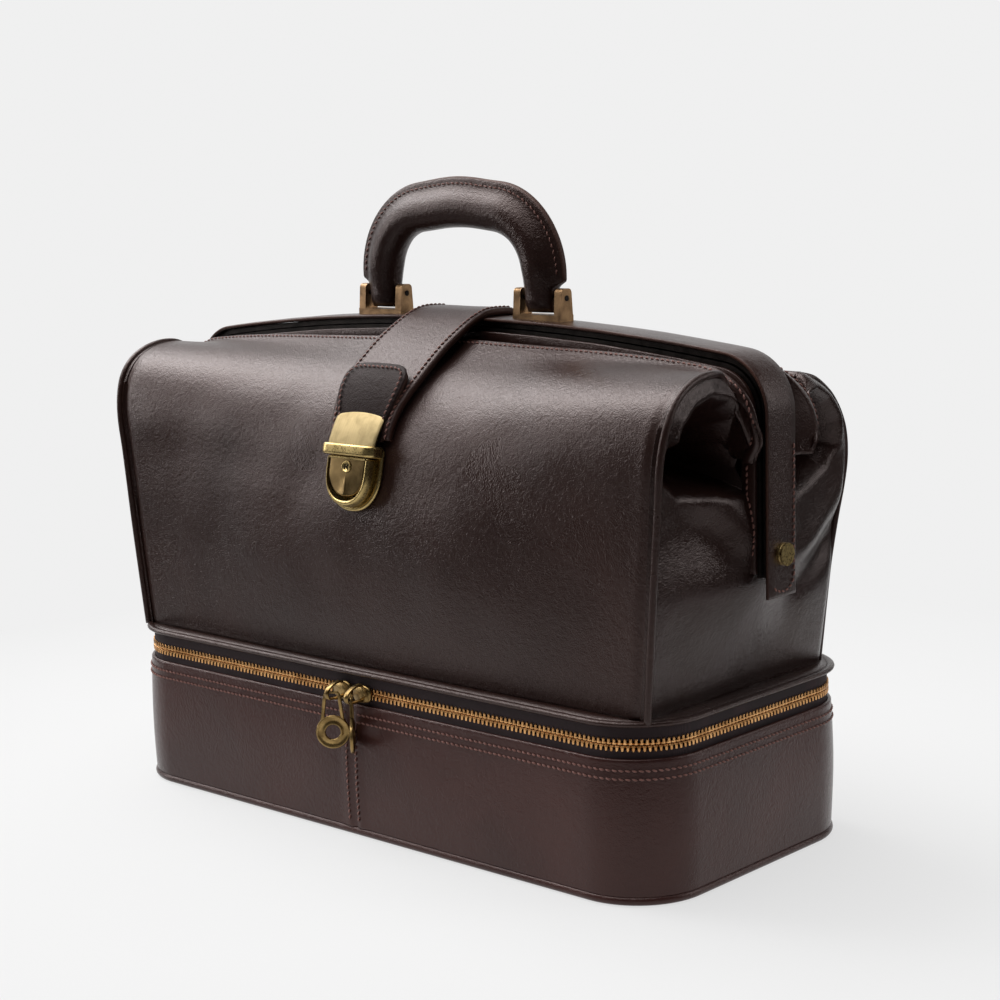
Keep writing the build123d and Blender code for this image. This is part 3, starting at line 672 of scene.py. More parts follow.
# ---- sliders and pullers ---------------------------------------------------------------
def make_slider(word, side):
    low, high = node_box(f"{word}_slider")
    centre = (low.x + high.x) / 2
    parts = []
    # Two plates, before and behind the teeth: flared at one end, narrower at the other.
    for depths in ((87.9, 88.2, 89.6, 90.2), (83.2, 83.4, 84.5, 84.7)):
        vertices, count = [], 36
        for k, y in enumerate(depths):
            shrink = 0.9 if k in (0, 3) else 1.0
            for j in range(count):
                turn = 2 * math.pi * j / count
                x, z = math.cos(turn), math.sin(turn)
                x = math.copysign(abs(x) ** 0.7, x)
                z = math.copysign(abs(z) ** 0.6, z)
                waist = 0.5 * math.exp(-((x * side + 0.9) / 0.25) ** 2)
                flare = 4.4 + 1.0 * smooth(1, -1, x * side) - waist
                vertices.append((centre + 6.6 * x * shrink, -y, ZIP_Z + flare * z * shrink))
        parts.append((vertices, capped_faces(len(depths), count)))
    # Loop: a bent strip that stands off the plate and holds the puller's bar.
    arch = [
        (-89.6, 4.4), (-92.2, 4.9), (-95.2, 4.6), (-98.4, 3.2), (-100.7, 1.2), (-100.9, -1.0),
        (-99.8, -2.8), (-96.2, -3.4), (-89.8, -3.4),
    ]
    path = [(centre, y, ZIP_Z + z) for y, z in spline(arch, 40)]
    parts.append(sweep(path, rounded_box(3.0, 1.1, 0.45, 2), up=loop_guide(path)))
    vertices, faces = joined(parts)
    name = f"{word}_zip_slider_body"
    body = make(name, vertices, faces, SLIDER_BRASS, f"{word}_zip_slider")
    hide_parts(f"{word}_slider")


def loop_guide(path):
    """Keeps a bent strip's flat across the bend, for strips that bend in the YZ plane."""
    points = np.array(path)

    def guide(i):
        tangent = points[min(i + 1, len(points) - 1)] - points[max(i - 1, 0)]
        return np.cross((1.0, 0.0, 0.0), tangent)

    return guide


def make_puller(word, twist):
    low, high = node_box(f"{word}_slider")
    bar = Vector(((low.x + high.x) / 2, -97.2, ZIP_Z))
    turn = Matrix.Rotation(math.radians(twist), 3, "Z")
    parts = []
    # Bail: a wire round the slider's loop whose legs run down into the disc.
    leg = [(2.6, 0.0), (3.55, -0.9), (4.0, -4), (4.9, -11), (5.4, -15.2)]
    wire = [(-x, z) for x, z in reversed(leg)] + [(0, 0.0)] + leg
    path = [(x, 0, z) for x, z in spline(wire, 60)]

    def thin(t):
        return mix(0.66, 1.0, smooth(0.10, 0.2, abs(t - 0.5)))

    parts.append(sweep(path, rounded_box(1.9, 1.5, 0.5, 2), scale=thin))
    # Disc: a flat ring with raised rims at its edge and round its hole.
    profile = [
        (4.0, -0.75), (4.0, 0.75), (4.5, 1.0), (5.0, 0.75), (5.4, 0.45), (7.4, 0.45), (7.8, 0.8), (8.4, 1.05),
        (8.9, 0.75), (8.9, -0.75), (8.4, -1.05), (7.8, -0.8), (7.4, -0.45), (5.4, -0.45), (5.0, -0.75),
        (4.5, -1.0),
    ]
    vertices, steps = [], 56
    for i in range(steps):
        angle = 2 * math.pi * i / steps
        for radius, y in profile:
            vertices.append((radius * math.cos(angle), y, -21.2 + radius * math.sin(angle)))
    parts.append((vertices, grid_faces(steps, len(profile), wrap_rows=True, wrap_columns=True)))
    vertices, faces = joined(parts)
    vertices = [bar + turn @ Vector(v) for v in vertices]
    name = f"{word}_zip_puller_ring"
    piece = make(name, vertices, faces, SLIDER_BRASS, f"{word}_zip_puller")
    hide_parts(f"{word}_puller")


for word, side, twist in (("left", -1, 42.0), ("right", 1, -47.0)):
    make_slider(word, side)
    make_puller(word, twist)


# ---- the frame's outline ----------------------------------------------------------------
ARCH_DROP = 15.0
FRAME_CORNER = 30.0


def frame_line(inset, low, spacing=2.0):
    """(x, z) points along the frame: up the left leg, over the arch, down the right leg."""
    half, top, shoulder = FRAME_HALF - inset, FRAME_ARCH_Z - inset, FRAME_ARCH_Z - ARCH_DROP - inset
    radius = (half**2 + (top - shoulder) ** 2) / (2 * (top - shoulder))
    centre = top - radius
    corner = max(FRAME_CORNER - inset, 3.0)
    corner_x = half - corner
    corner_z = centre + math.sqrt((radius - corner) ** 2 - corner_x**2)
    lean = math.atan2(corner_x, corner_z - centre)
    right = [(radius * math.sin(t), centre + radius * math.cos(t)) for t in np.linspace(0, lean, 60)]
    for t in np.linspace(lean, math.pi / 2, 16)[1:]:
        right.append((corner_x + corner * math.sin(t), corner_z + corner * math.cos(t)))
    right.append((half, low))
    line = [(-x, z) for x, z in reversed(right)] + right[1:]
    line = np.array(line)
    length = np.linalg.norm(np.diff(line, axis=0), axis=1).sum()
    return resample(line, int(length / spacing) + 1)


def frame_normals(line):
    """Outward normals of a line that runs from the left foot over to the right foot."""
    along = np.gradient(np.array(line), axis=0)
    along /= np.linalg.norm(along, axis=1, keepdims=True)
    return np.stack([-along[:, 1], along[:, 0]], axis=1)


def frame_strip(
    name, inset, thickness, low, front, back, material, body, edge=0.6, dome=0.0, spacing=2.0
):
    """A leather strip that follows the frame, with softened edges, from inset inward."""
    line = frame_line(inset, low, spacing)
    normals = frame_normals(line)
    section = []
    width = back - front
    for y, out in (
        (0.0, -edge), (edge * 0.3, -edge * 0.3), (edge, 0.0),
        (width * 0.25, dome * 0.8), (width * 0.5, dome), (width * 0.75, dome * 0.8),
        (width - edge, 0.0), (width - edge * 0.3, -edge * 0.3), (width, -edge), (width, -thickness + edge),
        (width - edge, -thickness), (edge, -thickness), (0.0, -thickness + edge),
    ):
        section.append((front + y, out))
    vertices = []
    for (x, z), (nx, nz) in zip(line, normals):
        for y, out in section:
            push = out + (0.18 * wobble((x, y, z), 21, 4.0) if out > -edge * 0.9 else 0.0)
            vertices.append((x + nx * push, y, z + nz * push))
    return make(name, vertices, capped_faces(len(line), len(section)), material, body)


# ---- front and rear leather ---------------------------------------------------------------
WALL_MIDDLE = [
    (80.0, 89.6), (84.5, 118), (86.8, 148), (86.2, 172), (82.5, 192), (79.2, 206), (74, 218),
    (67, 228), (59, 236.2), (50, 243), (40, 248.8),
]
WALL_END = [
    (78.5, 89.6), (79.5, 118), (80.5, 148), (81, 172), (81.5, 192), (82.3, 210), (80.8, 224),
    (76.5, 235.5), (69.5, 243.5), (60, 248.6), (50, 251), (40, 251.5),
]
REAR_END = [
    (75, 89.6), (75.5, 105), (76, 122), (77, 143), (80, 166), (83, 182), (84, 196), (81.5, 209),
    (76, 219.5), (67, 229.5), (55, 238), (42, 244),
]
PANEL_ROWS = 110
PANEL_COLUMNS = 241
MIDDLE_LINE = spline(WALL_MIDDLE, PANEL_ROWS)
END_LINE = {-1: spline(WALL_END, PANEL_ROWS), 1: spline(REAR_END, PANEL_ROWS)}
SEAM_LINE = frame_line(0.0, 206.0)
SEAM_NORMALS = frame_normals(SEAM_LINE)


def end_x(z):
    """Half length of the upper bag at a height: its ends lean out a little."""
    return 184.0 + 11.0 * (min(z, 232.0) - 90.4) / 114.6


def seam_point(s, end, extra=0.0):
    """The stitched seam that holds the leather to the frame; s runs from -1 to 1."""
    k = (s + 1) / 2 * (len(SEAM_LINE) - 1)
    at = int(min(k, len(SEAM_LINE) - 2))
    t = k - at
    x, z = mix(SEAM_LINE[at], SEAM_LINE[at + 1], t)
    nx, nz = mix(SEAM_NORMALS[at], SEAM_NORMALS[at + 1], t)
    far = abs(s)
    if end < 0:
        inset = 10.5 - 4.5 * smooth(0.2, 0.76, far) - 5.5 * smooth(0.76, 0.95, far)
        inset += 6.0 * smooth(0.95, 1.0, far)
        depth = 22.0 - 3.0 * smooth(0.8, 0.92, far) - 7.5 * smooth(0.9, 1.0, far)
    else:
        inset = 6.0 - 4.0 * smooth(0.6, 0.9, far)
        depth = 15.0 + 19.0 * smooth(0.80, 0.965, far) - 4.0 * smooth(0.97, 1.0, far)
    inset += extra
    return np.array((x - nx * inset, end * depth, z - nz * inset))


SHOULDER = 0.8


def profile_point(s, b, end):
    """The leather's outer face from its foot, b 0, up to the shoulder, b 1."""
    k = b * (PANEL_ROWS - 1)
    at = int(min(k, PANEL_ROWS - 2))
    middle = mix(MIDDLE_LINE[at], MIDDLE_LINE[at + 1], k - at)
    ends = mix(END_LINE[end][at], END_LINE[end][at + 1], k - at)
    share = smooth(0.0, 1.08, abs(s)) if end < 0 else mix(smooth(0.0, 1.08, abs(s)), 1.0, 0.4)
    depth, z = mix(middle, ends, share)
    x = s * (end_x(z) - (6.5 if end > 0 else 0.0))
    point = np.array((x, end * depth, z))
    middle_share = smooth(0.0, 0.35, b) * smooth(1.12, 0.8, b)
    puff = 1.6 * wobble((x, z, end * 40), 70, 2.0) + 0.7 * wobble((x, z, end * 40), 28, 5.0)
    point[1] += end * puff * middle_share * smooth(1.0, 0.93, abs(s))
    # The leather dips beside the piping.
    point[1] -= end * 1.5 * math.exp(-(((1 - abs(s)) * 195 - 3) / 3.0) ** 2) * smooth(1.0, 0.7, b)
    return point


def panel_point(s, b, end):
    """The leather's outer face: s across from -1 to 1, b from the foot, 0, to the seam, 1."""
    if b <= SHOULDER:
        return profile_point(s, b / SHOULDER, end)
    # Beyond the shoulder the roof runs in to the frame, and over the corner down to its legs.
    start, before, seam = profile_point(s, 1.0, end), profile_point(s, 0.97, end), seam_point(s, end)
    t = (b - SHOULDER) / (1 - SHOULDER)
    reach = np.linalg.norm(seam - start)
    leave = (start - before) / np.linalg.norm(start - before) * reach
    corner = smooth(0.72, 0.97, abs(s))
    arrive = mix(seam - start, np.array((math.copysign(0.25, s), -end * 0.55, -0.9)) * reach, corner)
    return (
        start * (2 * t**3 - 3 * t**2 + 1) + leave * (t**3 - 2 * t**2 + t)
        + seam * (3 * t**2 - 2 * t**3) + arrive * (t**3 - t**2)
    )


PANEL_B = np.concatenate([np.linspace(0, SHOULDER, 84), np.linspace(SHOULDER, 1.0, 42)[1:]])


def make_panel(end):
    word = END_WORD[end]
    across = np.linspace(-1, 1, PANEL_COLUMNS)
    outer = [[panel_point(s, b, end) for s in across] for b in PANEL_B]
    # The edge beyond the seam turns down and in, under the lip of the band.
    reach = 12.9 if end < 0 else 11.9
    for down, share in ((0.9, 0.12), (4.0, 0.3), (7.0, 1.0)):
        row = []
        for s in across:
            point = seam_point(s, end, down)
            point[1] = mix(point[1], end * reach, share)
            row.append(point)
        outer.append(row)
    outer = np.array(outer)
    inner = thickened(outer, 2.2 * end)
    vertices, faces = solid_sheet(outer, inner)
    if end < 0:
        faces = flipped(faces)
    piece = make(f"{word}_leather", vertices, faces, BAG_LEATHER, None)
    piece.data.materials.append(LINING)
    count = len(outer) * PANEL_COLUMNS
    for polygon in piece.data.polygons:
        low = polygon.center.z < 0.235 and abs(polygon.center.x) < 0.184
        if low and all(v >= count for v in polygon.vertices):
            polygon.material_index = 1
    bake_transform(piece)
    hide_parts(f"{word}_panel", f"{word}_panel_top")
    run = []
    for s in np.linspace(-0.995, 0.995, 420):
        place, below = panel_point(s, 0.972, end), panel_point(s, 0.95, end)
        ahead = panel_point(min(s + 0.004, 1), 0.972, end)
        normal = np.cross(ahead - place, below - place) * end
        normal /= max(np.linalg.norm(normal), 1e-9)
        run.append((place + normal * 0.05, normal))
    sewn = stitches(f"{word}_seam_stitches", [run], None, seed=11 + end)
    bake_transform(sewn)


for end in (-1, 1):
    make_panel(end)


# ---- piping at the four corners ------------------------------------------------------------
def make_piping(side, end):
    path, stop = [], 0.86 if end < 0 else 0.84
    for b in np.linspace(0.0, stop, 110):
        edge = panel_point(side * 1.0, b, end)
        fade = smooth(stop - 0.08, stop, b)
        out = 1.7 - 3.4 * fade
        path.append(edge + np.array((side * out, -end * (0.2 + 0.8 * fade), -1.6 * fade - 0.2)))

    def taper(t):
        return 1.0 - 0.35 * smooth(0.9, 1.0, t)

    vertices, faces = sweep(path, circle(1.9 if end < 0 else 1.6, 12), up=(1, 0, 0), scale=taper)
    words = f"{SIDE_WORD[side]}_{END_WORD[end]}"
    piece = make(f"{words}_cord_piping", vertices, faces, BAG_LEATHER, None)
    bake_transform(piece)
    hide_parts(f"{words}_piping")


for side in (-1, 1):
    for end in (-1, 1):
        make_piping(side, end)


# ---- gussets ----------------------------------------------------------------------------------
HOLLOW_FRONT = [
    (-68, 214), (-66, 203), (-56, 196), (-42, 193.5), (-26, 192.5), (-12, 192), (-9, 203),
    (-13, 216), (-20, 228), (-30, 235), (-42, 237.5), (-54, 234.5), (-63, 227),
]
HOLLOW_REAR = [
    (66, 205), (64, 218), (56, 229), (44, 234), (34, 230), (30, 218), (24, 208), (12, 204),
    (10, 192), (24, 184), (44, 190), (58, 196),
]
FOLD_FRONT = [(-40, 196), (-30, 187), (-21, 178), (-13, 167), (-8, 157), (-5, 146)]
FOLD_REAR = [(80, 186), (66, 172), (50, 161), (32, 152), (14, 143)]


def signed_distance(y, z, polygon):
    """Distance to a closed outline, positive inside it."""
    inside, best = False, 1e9
    for (ay, az), (by, bz) in zip(polygon, polygon[1:] + polygon[:1]):
        if (az > z) != (bz > z) and y < ay + (z - az) / (bz - az) * (by - ay):
            inside = not inside
        dy, dz = by - ay, bz - az
        t = min(max(((y - ay) * dy + (z - az) * dz) / (dy * dy + dz * dz), 0), 1)
        best = min(best, math.hypot(y - ay - t * dy, z - az - t * dz))
    return best if inside else -best


def line_side(y, z, line):
    """(signed distance across, share along) of a point from an open line."""
    best, result = 1e9, (0, 0)
    for k, ((ay, az), (by, bz)) in enumerate(zip(line, line[1:])):
        dy, dz = by - ay, bz - az
        t = min(max(((y - ay) * dy + (z - az) * dz) / (dy * dy + dz * dz), 0), 1)
        away = math.hypot(y - ay - t * dy, z - az - t * dz)
        if away < best:
            turn = dy * (z - az) - dz * (y - ay)
            best, result = away, (math.copysign(away, turn), (k + t) / (len(line) - 1))
    return result


def gusset_x(y, z, end):
    """How far out the gusset's leather stands at a place, seen from the end."""
    x = end_x(z) - 0.6
    # It bulges out to the rivet, under the foot of the band.
    x += 9.5 * math.exp(-((y / 30) ** 2)) * smooth(96, 150, z) * smooth(215, 165, z)
    belly = math.sin(math.pi * min(max((z - 92) / 120, 0), 1))
    x += (3.0 if end > 0 else 2.0) * belly * math.exp(-(((abs(y) - 46) / 24) ** 2))
    x += 1.4 * wobble((y, z, 7), 44, 8.0) + 0.3 * wobble((y, z, 7), 16, 3.0)
    hollow = signed_distance(y, z, HOLLOW_FRONT if end < 0 else HOLLOW_REAR)
    # A rolled lip round the hollow, and then its steep walls.
    x += 2.4 * math.exp(-(((hollow + 4.5) / 4.5) ** 2)) * smooth(196, 222, z)
    x -= (60.0 if end < 0 else 42.0) * smooth(-5.5, 21.0, hollow) ** 1.3
    across, along = line_side(y, z, FOLD_FRONT if end < 0 else FOLD_REAR)
    inner = -across if end < 0 else across
    run = math.sin(math.pi * along**0.8)
    if end < 0:
        x += 1.3 * math.exp(-((across / 9.0) ** 2)) * run
        x -= 5.5 * smooth(-6.0, 20.0, inner) * smooth(143, 180, z)
    else:
        x += 1.6 * math.exp(-((across / 9.0) ** 2)) * run
        x -= 4.5 * math.exp(-(((inner - 13) / 9.0) ** 2)) * run
    return x


def gusset_inner(end):
    if end < 0:
        return [
            (0, 89.6), (0, 110), (0, 130), (0, 146), (-4, 152), (-9.5, 160), (-10.5, 175),
            (-11, 190), (-11.2, 202), (-11.5, 208),
        ]
    return [
        (0, 89.6), (0, 110), (0, 130), (0, 146), (4, 152), (8.5, 160), (9.5, 175), (10, 190),
        (17, 203), (29, 209),
    ]


GUSSET_ROWS = 150


def gusset_edge(end):
    """The panel's end edge, where the gusset is sewn on."""
    return np.array([panel_point(1.0, b, end) for b in np.linspace(0, 0.995, 200)])


def make_gusset(side, end):
    rows, columns = GUSSET_ROWS, 74
    outer_line = resample(gusset_edge(end)[:, 1:], rows)
    inner_line = spline(gusset_inner(end), rows)
    outer = []
    for i in range(rows):
        row = []
        for j in range(columns):
            u = j / (columns - 1)
            y, z = mix(outer_line[i], inner_line[i], u)
            x = gusset_x(y, z, end)
            # The rim of the patch is held where the panel's own edge is.
            if end < 0:
                x = mix(x, EDGE_X[end][i], smooth(0.06, 0.0, u))
            else:
                # The rear edge is rounded over, so its piping faces back.
                x = EDGE_X[end][i] + (x - EDGE_X[end][i]) * math.sqrt(1 - (1 - min(u / 0.13, 1)) ** 2)
            row.append((side * x, y, z))
        outer.append(row)
    outer = np.array(outer)
    inner = thickened(outer, 1.8 * side * end)
    vertices, faces = solid_sheet(outer, inner)
    if side * end > 0:
        faces = flipped(faces)
    words = f"{SIDE_WORD[side]}_gusset_{END_WORD[end]}"
    piece = make(f"{words}_leather", vertices, faces, GUSSET_LEATHER, None)
    piece.data.set_sharp_from_angle(angle=math.radians(50))
    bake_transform(piece)
    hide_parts(f"{words}_fold")
    if end < 0:
        # The pleat is sewn down beside the leg of the jaw.
        run = []
        for y, z in resample(spline(gusset_inner(end)[4:8], 60), 60):
            run.append(((side * (gusset_x(y - 2.6, z, end) + 0.1), y - 2.6, z), (side, 0, 0)))
        sewn = stitches(f"{words}_stitches", [run], None, seed=41 + side)
        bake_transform(sewn)
        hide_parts(("left" if side < 0 else "right") + "_gusset")


EDGE_X = {}
for end in (-1, 1):
    edge = gusset_edge(end)
    lengths = np.concatenate([[0], np.cumsum(np.linalg.norm(np.diff(edge[:, 1:], axis=0), axis=1))])
    EDGE_X[end] = np.interp(np.linspace(0, lengths[-1], GUSSET_ROWS), lengths, edge[:, 0]) - 0.6

for side in (-1, 1):
    for end in (-1, 1):
        make_gusset(side, end)


# ---- welt, boards and linings -------------------------------------------------------------------
def make_base():
    def waver(point, z):
        return 0.25 * wobble((point.x, point.y, 0), 40)

    bead = bead_profile(-0.4, 89.0, 2.1, 1.45, 12)
    welt = plan_tube("welt_bead", bead, BAG_LEATHER, "upper", wave=waver)
    flange = [(-2.0, 88.0), (-2.0, 89.9), (-8, 90.15), (-15.6, 90.1), (-15.6, 88.0)]
    cover = plan_tube("welt_flange", flange, BAG_LEATHER, "upper")
    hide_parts("base_welt")
    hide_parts("base_welt")
    for name, inset, low, high, material, slot, replaced in (
        ("base_stiffener", 3.8, 85.5, 87.7, BOARD, "board", "base_board"),
        ("tray_stiffener", 3.9, 2.4, 4.8, BOARD, "board", "tray_board"),
        ("divider_cloth", 4.6, 84.5, 85.4, LINING, "lining", "divider_lining"),
        ("floor_cloth", 16.7, 87.8, 88.8, LINING, "lining", "floor_lining"),
    ):
        body = "tray" if name.startswith("tray") else "upper"
        rows, count = [], 200
        rings = [(low, 0.0, 0), (low, 0.5, 0), (low, 1.0, 0.5), (low + 0.3, 1.0, 0), (high - 0.3, 1.0, 0)]
        rings += [(high, 1.0, 0.5), (high, 0.8, 0), (high, 0.5, 0), (high, 0.25, 0), (high, 0.0, 0)]
        for level, ring, soften in rings:
            row = []
            for i in range(count):
                point = plan_point(i / count, inset + soften)[0]
                x, y = point.x * ring, point.y * ring
                top = level == high and ring < 1
                lift = 0.1 * wobble((x, y, low), 25) if top and ring > 0 else 0
                row.append((x, y, level + lift - (0.1 if top else 0)))
            rows.append(row)
        vertices = [p for row in rows for p in row]
        faces = flipped(grid_faces(len(rows), count, wrap_columns=True))
        piece = make(name, vertices, faces, material, body)
        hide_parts(replaced)


make_base()


def make_hinge():
    """The leather strip at the back, on which the upper bag tips."""
    columns, rows = 90, 26
    outer = []
    for i in range(rows):
        z = 52 + 37.5 * i / (rows - 1)
        row = []
        for j in range(columns):
            x = -119 + 238 * j / (columns - 1)
            bulge = 0.35 + 0.5 * math.exp(-(((z - 80) / 5) ** 2)) + 0.2 * wobble((x, z, 0), 16, 9.0)
            row.append((x, 90.2 + bulge, z))
        outer.append(row)
    outer = np.array(outer)
    inner = outer - np.array((0, 1.5, 0))
    vertices, faces = solid_sheet(outer, inner)
    piece = make("rear_hinge_leather", vertices, flipped(faces), TRAY_LEATHER, None)
    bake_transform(piece)
    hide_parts("rear_hinge_strip")
    for body, z in (("tray", 55.0), ("upper", 87.5)):
        run = [((x, 90.75, z), (0, 1, 0)) for x in np.linspace(-116, 116, 60)]
        stitches(f"hinge_stitches_{body}", [run], body, seed=5)


make_hinge()


# ---- band and jaws ------------------------------------------------------------------------------
def make_frame():
    band = frame_strip(
        "band_leather", 0.0, 2.0, BAND_FOOT, -BAND_HALF, BAND_HALF,
        BAG_LEATHER, "rear_frame", 0.55, 0.35, 1.6,
    )
    band.data.materials.append(EDGE)
    for polygon in band.data.polygons:
        if polygon.center.y < -(BAND_HALF - 0.2) * MM or polygon.center.z < (BAND_FOOT + 0.3) * MM:
            polygon.material_index = 1
    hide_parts("frame_band")
    rear = frame_strip(
        "rear_jaw_leather", 2.2, 12.6, 176, 9.2, 11.4,
        BAG_LEATHER, "rear_frame", 0.5,
    )
    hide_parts("rear_jaw_facing")
    front = frame_strip(
        "front_jaw_leather", 7.0, 8.0, 152, -12.6, -10.2,
        BAG_LEATHER, "front_frame", 0.5,
    )
    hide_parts("front_jaw_facing")

    runs = []
    for side in (-1, 1):
        run = []
        leg = [(BAND_HALF - 2.2, z) for z in np.arange(214, BAND_FOOT + 9, -1.5)]
        foot = []
        for t in np.linspace(0, math.pi * 0.8, 14):
            foot.append(((BAND_HALF - 2.2) * math.cos(t), BAND_FOOT + 9 - 6.5 * math.sin(t)))
        for y, z in leg + foot:
            run.append(((side * (FRAME_HALF + 0.15), y, z), (side, 0, 0)))
        runs.append(run)
    stitches("band_stitches", runs, "rear_frame", seed=8)
    for side in (-1, 1):
        leg = [((side * (FRAME_HALF - 11.5), -12.65, z), (0, -1, 0)) for z in np.arange(205, 156, -1.5)]
        stitches(f"jaw_stitches_{SIDE_WORD[side]}", [leg], "front_frame", seed=9)


make_frame()


# ---- handle -----------------------------------------------------------------------------------
def filleted(points, radii, step=2.0):
    """A line through points with its corners rounded, evenly spaced.

    radii are for the inner points.
    """
    points = [Vector(p) for p in points]
    line = [points[0]]
    for before, corner, after, radius in zip(points, points[1:], points[2:], radii):
        a, b = (before - corner).normalized(), (after - corner).normalized()
        half = a.angle(b) / 2
        reach = radius / math.tan(half)
        centre = corner + (a + b).normalized() * (radius / math.sin(half))
        start, stop = corner + a * reach - centre, corner + b * reach - centre
        sweep_angle = start.angle(stop)
        for t in np.linspace(0, 1, 24):
            near, far = math.sin((1 - t) * sweep_angle), math.sin(t * sweep_angle)
            line.append(centre + (start * near + stop * far) / math.sin(sweep_angle))
    line.append(points[-1])
    total = sum((b - a).length for a, b in zip(line, line[1:]))
    return resample(line, int(total / step) + 1)


PIN_Z = 280.5
GRIP_TOP = 327.5
GRIP_SIDE = [
    (17.0, 0.0), (16.9, 1.2), (16.3, 2.0), (14.6, 2.35), (12.6, 2.9), (10.4, 4.2), (8.2, 6.0),
    (5.4, 8.1), (2.2, 9.6), (-1.4, 9.8), (-4.8, 8.7), (-7.6, 6.4), (-9.4, 3.4),
]
GRIP_SECTION = GRIP_SIDE + [(-10.0, 0.0)] + [(r, -y) for r, y in reversed(GRIP_SIDE[1:])]


def grip_frame():
    """Points down the middle of the grip, each with its outward normal."""
    corners = [(-57, 0, 272.8), (-57, 0, 320.5), (0, 0, GRIP_TOP), (57, 0, 320.5), (57, 0, 272.8)]
    path = filleted(corners, [33, 110, 33], 1.0)
    along = np.gradient(path, axis=0)
    along /= np.linalg.norm(along, axis=1, keepdims=True)
    return path, np.stack([-along[:, 2], np.zeros(len(path)), along[:, 0]], axis=1)


def grip_point(place, normal, reach, y):
    """A point of the grip's skin, which narrows to a rounded foot over each pin."""
    z = place[2]
    wide = mix(0.78, 1.0, smooth(281, 298, z))
    if z < PIN_Z:
        wide *= math.sqrt(max(1 - ((PIN_Z - z) / 8.0) ** 2, 0.02))
    limit = mix(9.6, 18.0, smooth(284.5, 291, z))
    tip = min(reach, limit) if reach > 0 else reach * mix(0.86, 1.0, smooth(276, 300, z))
    swell = 1 + 0.02 * wobble(place, 24, 2.2)
    return place + normal * tip * swell + np.array((0, y * wide * swell, 0))


def make_handle():
    path, normals = grip_frame()
    rows = [[grip_point(p, n, r, y) for r, y in GRIP_SECTION] for p, n in zip(path, normals)]
    vertices = [p for row in rows for p in row]
    around = len(GRIP_SECTION)
    faces = capped_faces(len(rows), around)
    grip = make("handle_grip", vertices, faces, BAG_LEATHER, "handle")
    grip.data.materials.append(EDGE)
    raw = (0, 1, 2, around - 1, around - 2)
    for polygon in grip.data.polygons:
        if len(polygon.vertices) == 4 and all(v % around in raw for v in polygon.vertices):
            polygon.material_index = 1
    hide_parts("handle_leather", "handle_core", "handle_eyes")
    runs = []
    for face in (-1, 1):
        run = []
        for p, n in zip(path, normals):
            if p[2] > 291.5:
                run.append((grip_point(p, n, 13.4, face * 2.75), (0, face, 0)))
        runs.append(run)
    stitches("handle_stitches", runs, "handle", pitch=3.4, length=2.5, radius=0.5, seed=21)


make_handle()


# ---- closing strap --------------------------------------------------------------------------------
STRAP_FACE = [
    (-80.5, 212.0), (-77.6, 221), (-71.8, 231.2), (-63.0, 240.9), (-52, 250.0), (-38, 259.9),
    (-22, 268.6), (-14, 271.9), (-8.5, 273.6), (-2, 274.3), (6, 274.2), (12, 273.6), (15.0, 271.0),
    (15.7, 266), (15.6, 256), (15.5, 246),
]
TAB_FACE = [
    (-81.6, 211.5), (-78.8, 219.0), (-77.0, 226), (-73.6, 234), (-69.2, 241.2), (-64.2, 247.2),
    (-62.2, 249.0),
]
TAB_LENGTH = 43.0


def strap_grid(face, half_width, rows, columns, lift=0.0, sag=0.0):
    """A grid of points over a strap's outer face. half_width takes the share along it."""
    line = spline(face, rows)
    along = np.gradient(line, axis=0)
    along /= np.linalg.norm(along, axis=1, keepdims=True)
    grid = []
    for i, ((y, z), (ty, tz)) in enumerate(zip(line, along)):
        half = half_width(i / (rows - 1))
        row = []
        for j in range(columns):
            t = -1 + 2 * j / (columns - 1)
            t = math.copysign(abs(t) ** 0.8, t)
            x = half * t
            rise = lift - 0.5 * smooth(0.9, 1.0, abs(t)) + 0.25 * wobble((x, y, z), 22, 12.0) - sag * t * t
            row.append((x, y - tz * rise, z + ty * rise))
        grid.append(row)
    return np.array(grid), line, along


def edge_run(grid, column_share, skip=0, stop=None):
    """A stitch run along a strap grid, a share of the way across it."""
    run = []
    rows, columns = grid.shape[:2]
    for i in range(skip, stop or rows):
        k = column_share * (columns - 1)
        j = int(min(k, columns - 2))
        point = mix(grid[i, j], grid[i, j + 1], k - j)
        ahead = grid[min(i + 1, rows - 1), j] - grid[max(i - 1, 0), j]
        normal = np.cross(np.array((1.0, 0, 0)), ahead)
        normal /= np.linalg.norm(normal)
        run.append((point + normal * 0.1, normal))
    return run


def raw_edged(name, outer, thickness, material, body):
    """A leather sheet under a grid of points, with its cut edge in another colour."""
    vertices, faces = solid_sheet(outer, thickened(outer, -thickness))
    piece = make(name, vertices, flipped(faces), material, body)
    piece.data.materials.append(EDGE)
    count = len(vertices) // 2
    for polygon in piece.data.polygons:
        if len({v >= count for v in polygon.vertices}) == 2:
            polygon.material_index = 1
    return piece


